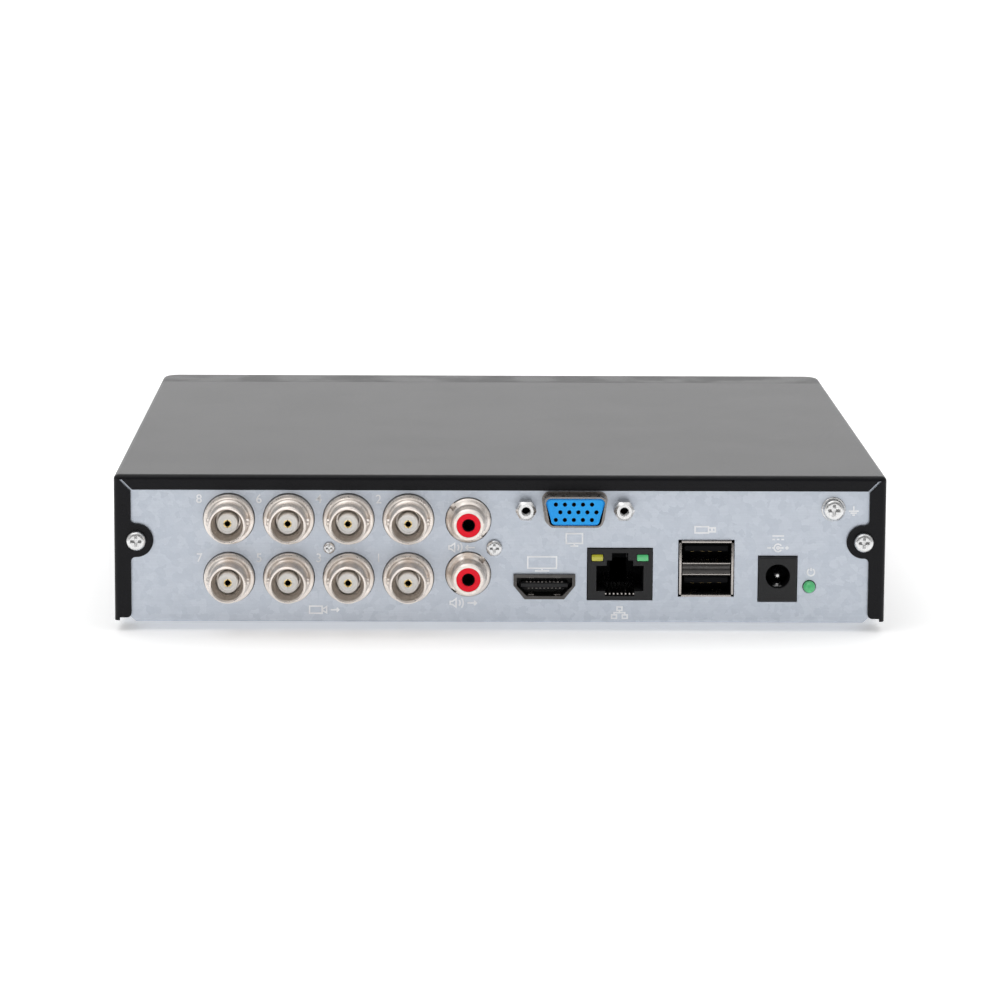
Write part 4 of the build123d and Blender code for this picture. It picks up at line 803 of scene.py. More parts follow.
def digit_piece(name, text, x, z, height, thickness):
    """A printed number as a flat raised mesh."""
    curve = bpy.data.curves.new(name, "FONT")
    curve.body = text
    curve.size = height / CAPITAL_SHARE
    curve.align_x = "CENTER"
    curve.align_y = "CENTER"
    curve.extrude = thickness / 2
    curve.offset = height * STROKE_GROWTH
    letter = bpy.data.objects.new(name + "_text", curve)
    bpy.context.scene.collection.objects.link(letter)
    bpy.context.view_layer.update()
    mesh = bpy.data.meshes.new_from_object(letter.evaluated_get(bpy.context.evaluated_depsgraph_get()))
    bpy.data.objects.remove(letter)
    mesh.transform(facing_back(x, z, PANEL_Y + thickness / 2))
    mesh.materials.clear()
    mesh.materials.append(finish("ink"))
    piece = bpy.data.objects.new(name, mesh)
    bpy.context.scene.collection.objects.link(piece)
    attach(piece, "case")
    return piece


class RECORDER_OT_finishes(bpy.types.Operator):
    """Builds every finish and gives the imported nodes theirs."""
    bl_idname = "recorder.finishes"
    bl_label = "Finishes"

    def execute(self, context):
        build_effects()
        build_finishes(context.scene)
        for name, nodes in CAD_FINISHES.items():
            for node in nodes:
                dress(node, name)
        left = [node for node in NODES if not any(node in nodes for nodes in CAD_FINISHES.values())]
        if left:
            raise RuntimeError(f"no finish for {left}")
        for node in NODES.values():
            node.data.shade_smooth()
            node.data.set_sharp_from_angle(angle=SMOOTH_ANGLE)
        return {"FINISHED"}


class RECORDER_OT_channel_numbers(bpy.types.Operator):
    """Prints the channel numbers beside the camera sockets."""
    bl_idname = "recorder.channel_numbers"
    bl_label = "Channel numbers"

    def execute(self, context):
        marks = context.scene.recorder_marks
        beside, above = 7.6 * MM, 5.0 * MM
        for number, place in enumerate(CAMERAS, start=1):
            digit_piece(f"channel_{number}", str(number), place.x + beside, place.z + above,
                        marks.digit_height, marks.film)
        return {"FINISHED"}


def in_metres(outline):
    """The same outline of (radius, reach), from millimetres."""
    return [(radius * MM, reach * MM) for radius, reach in outline]


def add_turned(shape, x, z, outline):
    """An outline of (radius, reach) in millimetres turned about an axis out of the panel at (x, z)."""
    add_lathe(shape, (x, PANEL_Y, z), TO_BACK, in_metres(outline))


def sector(inner, outer, start, end, steps=8):
    """The outline of part of a ring, in metres, from radii in millimetres and angles in degrees."""
    return ring_points(outer * MM, start, end, steps) + ring_points(inner * MM, end, start, steps)


class RECORDER_OT_camera_sockets(bpy.types.Operator):
    """Turns the camera sockets: barrels with bayonet lugs, insulators, split contacts and the dark wells
    inside them, which are painted shade.
    """
    bl_idname = "recorder.camera_sockets"
    bl_label = "Camera sockets"

    def execute(self, context):
        self.back = (low("bnc_shells_1_2").y - PANEL_Y) / MM
        self.rim = (high("bnc_shells_1_2").y - PANEL_Y) / MM
        for first in range(0, len(CAMERAS), 2):
            label = f"{first + 1}_{first + 2}"
            mesh_object(f"camera_barrels_{label}",
                        lambda shape: self.barrels(shape, CAMERAS[first:first + 2]),
                        "nickel", replaced=(f"bnc_shells_{label}",))
        mesh_object("camera_insulators", self.insulators, "insulator",
                    replaced=("bnc_insulators",))
        mesh_object("camera_contacts", self.contacts, "gold", replaced=("bnc_contacts",))
        mesh_object("camera_contact_painted_shade", self.wells, "dark")
        return {"FINISHED"}

    def barrels(self, shape, places):
        flange, barrel, groove, bore, sleeve, core = 6.45, 4.83, 4.68, 4.07, 3.3, 2.7
        lug_y, lug_radius, lug_reach = 5.4, 0.95, 5.5
        back, rim = self.back, self.rim
        outline = [(core, back), (flange, back), (flange, 1.2), (flange - 0.08, 1.5), (flange - 0.35, 1.65),
                   (5.6, 1.65), (5.4, 1.8), (5.35, 2.6), (5.1, 2.95), (barrel, 3.1), (barrel, 4.0),
                   (groove, 4.1), (groove, 4.3), (barrel, 4.4), (barrel, rim - 0.5),
                   (barrel - 0.1, rim - 0.18), (barrel - 0.32, rim), (bore + 0.28, rim),
                   (bore + 0.08, rim - 0.12), (bore, rim - 0.35), (bore, 9.2), (sleeve + 0.2, 6.9),
                   (sleeve, 6.7), (sleeve, 3.3), (sleeve - 0.2, 3.0), (core, 3.0)]
        lug = [(0, barrel - 0.4), (lug_radius, barrel - 0.4), (lug_radius, lug_reach - 0.2),
               (lug_radius - 0.2, lug_reach), (0, lug_reach)]
        for place in places:
            add_turned(shape, place.x, place.z, outline)
            for side in (-1, 1):
                sideways = Matrix.Rotation(side * math.pi / 2, 3, "Y")
                add_lathe(shape, (place.x, PANEL_Y + lug_y * MM, place.z), sideways, in_metres(lug), 24)

    def insulators(self, shape):
        outer, bore, face = 2.62, 1.04, 8.15
        for place in CAMERAS:
            add_turned(shape, place.x, place.z, [
                (bore, self.back), (outer, self.back), (outer, face - 0.3), (outer - 0.1, face - 0.08),
                (outer - 0.28, face), (2.1, face), (1.95, face - 0.15), (1.45, face - 0.15),
                (1.3, face - 0.05), (bore, face - 0.05)])

    def contacts(self, shape):
        inner, outer, foot, reach, slit = 0.76, 1.0, 3.0, 4.9, 9.0
        for place in CAMERAS:
            sheet = facing_back(place.x, place.z, PANEL_Y + foot * MM)
            for quarter in range(4):
                start = 90.0 * quarter
                add_prism(shape, sector(inner, outer, start + slit, start + 90.0 - slit), sheet, reach * MM)

    def wells(self, shape):
        # A dark plug inside each split contact: painted shade in its bore.
        radius, foot, face, rim, dip = 0.75, 3.1, 5.6, 6.0, 0.15
        for place in CAMERAS:
            add_turned(shape, place.x, place.z,
                       [(0, foot), (radius, foot), (radius, rim), (radius - dip, face), (0, face)])


class RECORDER_OT_audio_sockets(bpy.types.Operator):
    """Lines the audio sockets: dark wells of painted shade, contact rings and a rolled lip on each insert.
    """
    bl_idname = "recorder.audio_sockets"
    bl_label = "Audio sockets"

    def execute(self, context):
        self.face = (high("audio_inserts").y - PANEL_Y) / MM
        self.places = [mount_place(name) for name in ("audio_in", "audio_out")]
        mesh_object("audio_painted_shade_wells", self.wells, "dark")
        mesh_object("audio_contact_rings", self.rings, "gold")
        return {"FINISHED"}

    def wells(self, shape):
        # The dark well is painted shade inside the insert's hole.
        outer, inner, lip, foot, floor = 1.62, 1.42, 0.3, 0.7, 1.3
        for place in self.places:
            add_turned(shape, place.x, place.z, [
                (0, foot), (outer, foot), (outer, self.face - lip - 0.1), (outer - 0.08, self.face - lip),
                (inner, self.face - lip), (inner, floor), (0, floor)])

    def rings(self, shape):
        inner, outer, foot, shoulder, face = 1.2, 1.4, 2.0, 4.2, 4.4
        for place in self.places:
            add_turned(shape, place.x, place.z,
                       [(inner, foot), (outer, foot), (outer, shoulder), (1.3, face), (inner, shoulder)])


class RECORDER_OT_monitor_socket(bpy.types.Operator):
    """Fits the collar and contact sleeves of the monitor socket and cuts threads in its posts; the sleeves
    and the dark wells in the posts are painted shade.
    """
    bl_idname = "recorder.monitor_socket"
    bl_label = "Monitor socket"

    def execute(self, context):
        mesh_object("monitor_collar", self.collar, "monitor_blue")
        mesh_object("monitor_contact_holes_painted_shade", self.sleeves, "dark")
        mesh_object("monitor_post_threads", self.threads, "screw")
        mesh_object("monitor_post_painted_shade", self.wells, "dark")
        return {"FINISHED"}

    def posts(self):
        boxes = solid_boxes("monitor_port_posts")
        return [((first + second) / 2, second.y) for first, second in boxes]

    def collar(self, shape):
        """The step of the insert that fills the shell's mouth behind its face."""
        first, last = low("monitor_port_insert"), high("monitor_port_insert")
        centre = (first + last) / 2
        slant, corner, sunk, thick = 1.3 * MM, 1.3 * MM, 0.25 * MM, 2.0 * MM
        beside, above, opening = 0.42 * MM, 0.3 * MM, 0.9
        wide, tall = (last.x - first.x) / 2 + beside - corner, (last.z - first.z) / 2 + above - corner
        corners = ((wide, tall, 0), (-wide, tall, 90), (slant - wide, -tall, 180),
                   (wide - slant, -tall, 270))
        outline = [point for x, z, start in corners
                   for point in ring_points(corner, start, start + 90, 6, (x, z))]
        place = facing_back(centre.x, centre.z, last.y - sunk - thick)
        rings = [[shape.verts.new(place @ Vector((u * share, v * share, w))) for u, v in outline]
                 for share, w in ((1.0, 0.0), (1.0, thick), (opening, thick), (opening, 0.0))]
        for ring, other in zip(rings, rings[1:] + rings[:1]):
            for index in range(len(outline)):
                shape.faces.new([ring[index - 1], ring[index], other[index], other[index - 1]])

    def sleeves(self, shape):
        # The sleeves' dark finish is painted shade in the contact holes.
        pitch, row_pitch, stagger = 2.29 * MM, 1.98 * MM, 0.38 * MM
        outer, inner, sunk, deep = 0.548, 0.34, 0.05, 3.4
        centre, face = middle("monitor_port_insert"), high("monitor_port_insert").y
        outline = [(0, -deep), (outer, -deep), (outer, -sunk), (inner, -sunk - 0.12), (inner, 0.6 - deep),
                   (0, 0.6 - deep)]
        for row in (-1, 0, 1):
            shift = stagger if row else -2 * stagger
            for column in range(-2, 3):
                x = centre.x - column * pitch + shift
                add_lathe(shape, (x, face, centre.z + row * row_pitch), TO_BACK, in_metres(outline), 20)

    def threads(self, shape):
        bore, crest, pitch, turns = 1.2, 1.04, 0.45, 7
        for centre, face in self.posts():
            outline = [(bore + 0.02, -turns * pitch - 0.1), (bore + 0.02, -0.1)]
            for turn in range(turns):
                outline += [(bore, -0.12 - turn * pitch), (crest, -0.12 - (turn + 0.5) * pitch)]
            outline.append((bore, -0.1 - turns * pitch))
            add_lathe(shape, (centre.x, face, centre.z), TO_BACK, in_metres(outline), 36)

    def wells(self, shape):
        # Dark wells in the posts' bores: painted shade.
        radius, foot, floor = 1.15 * MM, -4.0 * MM, -3.3 * MM
        for centre, face in self.posts():
            add_lathe(shape, (centre.x, face, centre.z), TO_BACK,
                      [(0, foot), (radius, foot), (radius, floor), (0, floor)], 36)


class RECORDER_OT_digital_socket(bpy.types.Operator):
    """Fits the core of the digital video socket and the contacts on both faces of its tongue."""
    bl_idname = "recorder.digital_socket"
    bl_label = "Digital video socket"

    def execute(self, context):
        mesh_object("digital_core", self.core, "housing")
        mesh_object("digital_contacts", self.contacts, "shell")
        mesh_object("digital_springs", self.springs, "shell")
        return {"FINISHED"}

    def core(self, shape):
        """The moulding behind the tongue, with the outline of the shell's inside."""
        centre = middle("digital_port_shell")
        wide, tall, deep, thick = 6.98 * MM, 2.32 * MM, 9.8 * MM, 5.6 * MM
        bend, foot = 0.1 * tall, 0.64 * wide
        outline = [(-wide, tall), (wide, tall), (wide, bend), (foot, -tall), (-foot, -tall), (-wide, bend)]
        add_prism(shape, outline, facing_back(centre.x, centre.z, PANEL_Y - deep), thick)

    def contacts(self, shape):
        first, last = low("digital_port_tongue"), high("digital_port_tongue")
        pitch, wide, film = 1.0 * MM, 0.42 * MM, 0.08 * MM
        centre_x, front = (first.x + last.x) / 2, last.y - 0.35 * MM
        for count, z in ((10, last.z), (9, first.z)):
            for index in range(count):
                x = centre_x + (index - (count - 1) / 2) * pitch
                add_box(shape, (x - wide / 2, first.y + 3 * MM, z - film), (x + wide / 2, front, z + film))

    def springs(self, shape):
        """The pressed springs that stand in from the shell's upper and lower walls."""
        first, last = low("digital_port_shell"), high("digital_port_shell")
        wall, rise, wide, bevel = 0.8 * MM, 0.30 * MM, 1.6 * MM, 0.1 * MM
        start, end = PANEL_Y - 4.2 * MM, PANEL_Y - 0.4 * MM
        for x in (-3.4, 3.4):
            centre_x = (first.x + last.x) / 2 + x * MM
            for z, way in ((last.z - wall, -1), (first.z + wall, 1)):
                add_box(shape, (centre_x - wide / 2, start, z), (centre_x + wide / 2, end, z + way * rise),
                        bevel)


class RECORDER_OT_data_sockets(bpy.types.Operator):
    """Folds the shell of the two data sockets and fits their cores, contacts, springs and middle bar; the
    cores' wall linings and the bar's dark steel are painted shade.
    """
    bl_idname = "recorder.data_sockets"
    bl_label = "Data sockets"

    def execute(self, context):
        self.places = [mount_place(name) for name in ("data_port_lower", "data_port_upper")]
        self.x = self.places[0].x
        self.z = (self.places[0].z + self.places[1].z) / 2
        self.tongues = solid_boxes("data_port_tongues")
        mesh_object("data_shell", self.shell, "shell", replaced=("data_port_shell",))
        mesh_object("data_cores_and_painted_shade", self.cores, "dark")
        mesh_object("data_contacts", self.contacts, "gold")
        mesh_object("data_springs", self.springs, "shell")
        mesh_object("data_bar", self.bar, "painted_shade_steel")
        return {"FINISHED"}

    def along_x(self, x, z):
        """A sheet seen along X: u runs to +Y, v runs up, and thickness runs to +X."""
        return Matrix(((0, 0, 1, x), (1, 0, 0, 0), (0, 1, 0, z), (0, 0, 0, 1)))

    def shell(self, shape):
        """Side, top and bottom walls and the two shelves of the bar, each stopping short at the corners."""
        half_wide, half_tall, wall, shelf, relief = 6.95, 7.3, 0.6, 1.62, 0.55
        back, front, inset, shelf_wall, bevel = -16.5, 0.75, 0.8, 0.4, 0.14 * MM
        walls = [(side * half_wide, side * (half_wide - wall), relief - half_tall, half_tall - relief)
                 for side in (-1, 1)]
        walls += [(relief - half_wide, half_wide - relief, side * half_tall, side * (half_tall - wall))
                  for side in (-1, 1)]
        walls += [(inset - half_wide, half_wide - inset, side * shelf, side * (shelf - shelf_wall))
                  for side in (-1, 1)]
        for x0, x1, z0, z1 in walls:
            add_box(shape, (self.x + x0 * MM, PANEL_Y + back * MM, self.z + z0 * MM),
                    (self.x + x1 * MM, PANEL_Y + front * MM, self.z + z1 * MM), bevel)

    def cores(self, shape):
        """Dark linings that close the back and cover the walls of each socket; on the walls they are painted
        shade.
        """
        half_wide, half_tall, film, back, front, deep = 6.34, 2.62, 0.08, -16.0, 0.2, 8.5
        for place in self.places:
            def wall(x0, x1, y0, y1, z0, z1):
                add_box(shape, (self.x + x0 * MM, PANEL_Y + y0 * MM, place.z + z0 * MM),
                        (self.x + x1 * MM, PANEL_Y + y1 * MM, place.z + z1 * MM))
            wall(-half_wide, half_wide, back, -deep, -half_tall, half_tall)
            for side in (-1, 1):
                wall(side * half_wide, side * (half_wide - film), back, front, -half_tall, half_tall)
                wall(-half_wide, half_wide, back, front, side * half_tall, side * (half_tall - film))

    def contacts(self, shape):
        wide, film, short, deep, bevel = 1.0 * MM, 0.1 * MM, 0.8 * MM, 8.5 * MM, 0.03 * MM
        for first, last in self.tongues:
            for offset in (-3.5, -1.0, 1.0, 3.5):
                x = self.x + offset * MM
                add_box(shape, (x - wide / 2, PANEL_Y - deep, first.z - film),
                        (x + wide / 2, last.y - short, first.z + film), bevel)

    def springs(self, shape):
        """Two pressed springs stand in from the upper and the lower wall of each socket."""
        wide, rise, wall, apart = 2.4 * MM, 0.4 * MM, 2.54 * MM, 3 * MM
        front, crest, back = PANEL_Y - 1.6 * MM, PANEL_Y - 3.0 * MM, PANEL_Y - 6.5 * MM
        for place in self.places:
            for side in (-1, 1):
                for way in (-1, 1):
                    outline = [(front, 0.0), (crest, -way * rise), (back, -way * rise * 0.2), (back, 0.0)]
                    start = self.x + side * apart - wide / 2
                    add_prism(shape, outline, self.along_x(start, place.z + way * wall), wide)

    def bar(self, shape):
        """The hollowed plate between the two sockets."""
        # Its steel is darkened: painted shade in the hollow between the two sockets.
        half, tall, dip, steps = 6.1 * MM, 1.24 * MM, 0.7 * MM, 10
        front = PANEL_Y + 0.5 * MM
        hollow = [(front - dip * math.sin(math.pi * step / steps), tall - 2 * tall * step / steps)
                  for step in range(steps + 1)]
        outline = hollow + [(front - 3 * MM, -tall), (front - 3 * MM, tall)]
        add_prism(shape, outline, self.along_x(self.x - half, self.z), 2 * half)


class RECORDER_OT_power_inlet(bpy.types.Operator):
    """Fits the round-ended pin, the sprung leaf with its knob and the lining of the power inlet, whose
    darkness is painted shade.
    """
    bl_idname = "recorder.power_inlet"
    bl_label = "Power inlet"

    def execute(self, context):
        pin, leaf = sorted(solid_boxes("power_jack_pin"), key=lambda box: -box[1].z)
        mesh_object("power_pin", lambda shape: self.pin(shape, *pin), "tin",
                    replaced=("power_jack_pin",))
        mesh_object("power_leaf", lambda shape: self.leaf(shape, *leaf), "tin")
        mesh_object("power_well_painted_shade", lambda shape: self.well(shape, *pin), "dark")
        return {"FINISHED"}

    def pin(self, shape, first, last):
        centre, radius, reach = (first + last) / 2, 0.8 * MM, last.y - first.y
        outline = [(0, 0), (radius, 0), (radius, reach - 0.8 * MM), (0.85 * radius, reach - 0.35 * MM),
                   (0.5 * radius, reach - 0.08 * MM), (0, reach)]
        add_lathe(shape, (centre.x, first.y, centre.z), TO_BACK, outline, 32)

    def leaf(self, shape, first, last):
        """A springy strip that bows up towards the pin, with a rounded knob at its end."""
        thick = 0.25 * MM
        run, bow, steps = last.y - first.y, 1.1 * MM, 10
        top = [(first.y + run * step / steps, last.z + bow * math.sin(math.pi * 0.8 * step / steps))
               for step in range(steps + 1)]
        outline = top + [(y, z - thick) for y, z in reversed(top)]
        place = Matrix(((0, 0, 1, first.x), (1, 0, 0, 0), (0, 1, 0, 0), (0, 0, 0, 1)))
        add_prism(shape, outline, place, last.x - first.x)
        knob, reach = 0.62 * MM, 1.6 * MM
        outline = [(0, 0), (knob, 0), (knob, reach - 0.5 * MM), (0.8 * knob, reach - 0.2 * MM),
                   (0.4 * knob, reach - 0.04 * MM), (0, reach)]
        add_lathe(shape, ((first.x + last.x) / 2, last.y - reach, top[-1][1]), TO_BACK, outline, 24)

    def well(self, shape, first, last):
        """The dark lining of the round hole: painted shade."""
        centre, outer, inner, middle_hole = (first + last) / 2, 3.14 * MM, 3.06 * MM, 1.0 * MM
        mouth, deep, floor = 0.3 * MM, -8.2 * MM, -7.9 * MM
        add_lathe(shape, (centre.x, PANEL_Y, centre.z), TO_BACK,
                  [(middle_hole, deep), (outer, deep), (outer, mouth), (inner, mouth), (inner, floor),
                   (middle_hole, floor)], 48)


class RECORDER_OT_network_socket(bpy.types.Operator):
    """Sets the yellow and the green lamp of the network socket and lines its cavity with painted shade."""
    bl_idname = "recorder.network_socket"
    bl_label = "Network socket"

    def lining(self, shape):
        """Thin dark walls at the back, at both sides and above, clear of the sprung contacts: painted shade,
        darker than the housing's black plastic.
        """
        first, last = low("network_jack"), high("network_jack")
        centre = (first + last) / 2
        half, film, mouth, deep = 6.04 * MM, 0.06 * MM, last.y - 0.5 * MM, last.y - 12.4 * MM
        key_half, step_half = 2.08 * MM, 3.45 * MM
        foot, shoulder, top = first.z + 2.4 * MM, first.z + 8.88 * MM, first.z + 12.18 * MM
        add_box(shape, (centre.x - key_half, deep, foot), (centre.x + key_half, deep + film, top))
        add_box(shape, (centre.x - half, deep, foot), (centre.x + half, deep + film, shoulder))
        add_box(shape, (centre.x - key_half, deep, top - film), (centre.x + key_half, mouth, top))
        for side in (-1, 1):
            add_box(shape, (centre.x + side * half, deep, foot),
                    (centre.x + side * (half - film), mouth, shoulder))
            add_box(shape, (centre.x + side * half, deep, shoulder),
                    (centre.x + side * step_half, mouth, shoulder - film))

    def execute(self, context):
        mesh_object("network_painted_shade_lining", self.lining, "dark")
        yellow, green = solid_boxes("network_lights")
        for name, box, lens, slot_name, replaced in (
                ("network_lamp_yellow", yellow, "yellow_lens", "yellow_lens", ("network_lights",)),
                ("network_lamp_green", green, "green_lens", "green_lens", ())):
            mesh_object(name, lambda shape: add_box(shape, *box, 0.35 * MM), lens,
                        replaced=replaced)
        return {"FINISHED"}


class RECORDER_OT_feet(bpy.types.Operator):
    """Turns the four rubber feet with a rounded rim and a hollow in the sole."""
    bl_idname = "recorder.feet"
    bl_label = "Feet"

    def execute(self, context):
        mesh_object("feet", self.feet, "rubber", replaced=("rubber_feet",))
        return {"FINISHED"}

    def feet(self, shape):
        for first, last in solid_boxes("rubber_feet"):
            radius, height = (last.x - first.x) / 2, last.z - first.z
            outline = [(0, height), (radius, height), (radius, 0.9 * MM), (radius - 0.15 * MM, 0.4 * MM),
                       (radius - 0.45 * MM, 0.1 * MM), (radius - 0.8 * MM, 0.0), (radius - 1.4 * MM, 0.0),
                       (radius - 1.7 * MM, 0.35 * MM), (radius - 2.2 * MM, 0.5 * MM), (0, 0.5 * MM)]
            centre = (first + last) / 2
            add_lathe(shape, (centre.x, centre.y, first.z), UPRIGHT, outline)


# ---------------------------------------------------------------- pictograms on the panel and the front
def arrow(width, height):
    """Strokes of an arrow that points right, about the origin."""
    head = width / 2 - height / 2
    return [[(-width / 2, 0), (width / 2, 0)], [(head, height / 2), (width / 2, 0), (head, -height / 2)]]


def rectangle(x0, y0, x1, y1):
    return [(x0, y0), (x1, y0), (x1, y1), (x0, y1), (x0, y0)]


def shifted(strokes, way):
    return [[(x + way, y) for x, y in points] for points in strokes]


def video_sign():
    body, lens = rectangle(-2.6, -0.8, 0.2, 0.8), [(0.2, 0.1), (1.2, 0.7), (1.2, -0.7), (0.2, -0.1)]
    return [body, lens] + shifted(arrow(1.8, 0.9), 3.0)


def audio_sign(way):
    """A loudspeaker with an arrow: way is 1 for sound out and -1 for sound in."""
    speaker = [[(-2.4, -0.35), (-1.9, -0.35), (-1.1, -0.95), (-1.1, 0.95), (-1.9, 0.35), (-2.4, 0.35),
                (-2.4, -0.35)],
               ring_points(1.0, -40, 40, 6, (-1.2, 0.0)), ring_points(1.7, -40, 40, 8, (-1.2, 0.0))]
    return speaker + [[(x * way + 2.4, y) for x, y in points] for points in arrow(2.0, 1.0)]


def screen_sign(width, height):
    return [rectangle(-width / 2, -height / 2, width / 2, height / 2),
            [(0, -height / 2), (0, -height / 2 - 0.6)],
            [(-width / 4, -height / 2 - 0.6), (width / 4, -height / 2 - 0.6)]]


def plug_sign():
    return [rectangle(-2.6, -0.7, 0.4, 0.7), rectangle(0.4, -0.45, 1.9, 0.45), [(0.9, 0.12), (1.4, 0.12)],
            [(0.9, -0.14), (1.4, -0.14)]]


def network_sign():
    """Three linked boxes."""
    boxes = [rectangle(-0.55, 0.5, 0.55, 1.3), rectangle(-1.75, -1.3, -0.65, -0.5),
             rectangle(0.65, -1.3, 1.75, -0.5)]
    return boxes + [[(0, 0.5), (0, 0.0)], [(-1.2, -0.5), (-1.2, 0.0), (1.2, 0.0), (1.2, -0.5)]]


def direct_current_sign():
    dashes = [[(x, -0.45), (x + 0.6, -0.45)] for x in (-1.3, -0.3, 0.7)]
    return [[(-1.3, 0.35), (1.3, 0.35)]] + dashes


def polarity_sign():
    """A centre contact marked plus, and the ring round it marked minus."""
    centre, ring = ring_points(0.28, steps=12), ring_points(0.85, 30, 330, 20)
    plus = [[(1.6, 0), (2.4, 0)], [(2.0, -0.4), (2.0, 0.4)], [(0.3, 0), (1.25, 0)]]
    return [centre, ring] + plus + [[(-2.4, 0), (-1.6, 0)], [(-1.3, 0), (-0.85, 0)]]


def power_sign():
    return [ring_points(0.8, 120, 420, 20), [(0, 0.25), (0, 1.0)]]


def earth_sign():
    return [[(0, 1.2), (0, 0.1)], [(-1.1, 0.1), (1.1, 0.1)], [(-0.7, -0.35), (0.7, -0.35)],
            [(-0.3, -0.8), (0.3, -0.8)]]


def disk_sign():
    sides = [[(-0.9, 0.6), (-0.9, -0.6)], [(0.9, 0.6), (0.9, -0.6)]]
    rims = [[(x, y * 0.35 + 0.6) for x, y in ring_points(0.9, steps=20)],
            [(x, y * 0.35 - 0.6) for x, y in ring_points(0.9, 180, 360, 10)]]
    return sides + rims


def print_sign(name, strokes, place, marks, ink, scale=1.0):
    """Prints strokes given in millimetres as a thin film of ink."""
    def build(shape):
        for index, points in enumerate(strokes):
            film = marks.film * (1 + FILM_STEP * index)
            stroke(shape, place, [(x * scale * MM, y * scale * MM) for x, y in points], marks.line, film)
    mesh_object(name, build, ink, smooth=False)


class RECORDER_OT_panel_signs(bpy.types.Operator):
    """Prints a plain pictogram beside each socket of the panel."""
    bl_idname = "recorder.panel_signs"
    bl_label = "Panel signs"

    def execute(self, context):
        marks = context.scene.recorder_marks
        audio_in, audio_out = mount_place("audio_in"), mount_place("audio_out")
        monitor, digital, network, data, power, lamp, ground = (middle(node) for node in (
            "monitor_port_shell", "digital_port_shell", "network_jack", "data_port_shell", "power_jack",
            "power_light", "ground_screw"))
        first, last = CAMERAS[0], CAMERAS[-1]
        above, scale = 2.2 * MM, 1.15
        for name, strokes, x, z in (
                ("video_in_sign", video_sign(), (first.x + last.x) / 2 - 0.6 * MM, TRAY_FLOOR + 3.2 * MM),
                ("audio_in_sign", audio_sign(-1), audio_in.x + 2.2 * MM, audio_in.z - 7.1 * MM),
                ("audio_out_sign", audio_sign(1), audio_out.x + 1.8 * MM, audio_out.z - 7.5 * MM),
                ("monitor_sign", screen_sign(3.6, 2.2), monitor.x, low("monitor_port_shell").z - 3.3 * MM),
                ("digital_sign", screen_sign(6.4, 2.6), digital.x + 0.6 * MM,
                 high("digital_port_shell").z + 3.0 * MM),
                ("network_sign", network_sign(), network.x, low("network_jack").z - 3.4 * MM),
                ("data_sign", plug_sign(), data.x, high("data_port_shell").z + above),
                ("direct_current_sign", direct_current_sign(), power.x, high("power_jack").z + 4.9 * MM),
                ("polarity_sign", polarity_sign(), power.x, high("power_jack").z + above),
                ("power_sign", power_sign(), lamp.x - 0.4 * MM, high("power_light").z + above),
                ("earth_sign", earth_sign(), ground.x - 5.2 * MM, ground.z - 0.6 * MM)):
            print_sign(name, strokes, facing_back(x, z), marks, "ink", scale)
        return {"FINISHED"}


class RECORDER_OT_front_signs(bpy.types.Operator):
    """Prints the signs of the three lamps on the window in the bezel."""
    bl_idname = "recorder.front_signs"
    bl_label = "Front signs"

    def execute(self, context):
        marks = context.scene.recorder_marks
        window, scale = middle("light_window"), 1.05
        signs = (("front_power_sign", power_sign()), ("front_disk_sign", disk_sign()),
                 ("front_network_sign", network_sign()))
        for (name, strokes), (first, last) in zip(signs, reversed(solid_boxes("front_lights"))):
            place = facing_front((first.x + last.x) / 2, window.z, low("light_window").y)
            print_sign(name, strokes, place, marks, "front_ink", scale)
        return {"FINISHED"}


# ---------------------------------------------------------------- inside the case
def add_gull_lead(shape, place, rise, wide):
    """One bent lead: out of the chip's side, down, and flat on the board."""
    metal, out, foot = 0.12 * MM, 0.3 * MM, 0.75 * MM
    outline = [(0, rise), (out + metal, rise), (out + metal, metal), (out + foot, metal), (out + foot, 0),
               (out, 0), (out, rise - metal), (0, rise - metal)]
    add_prism(shape, outline, place, wide)


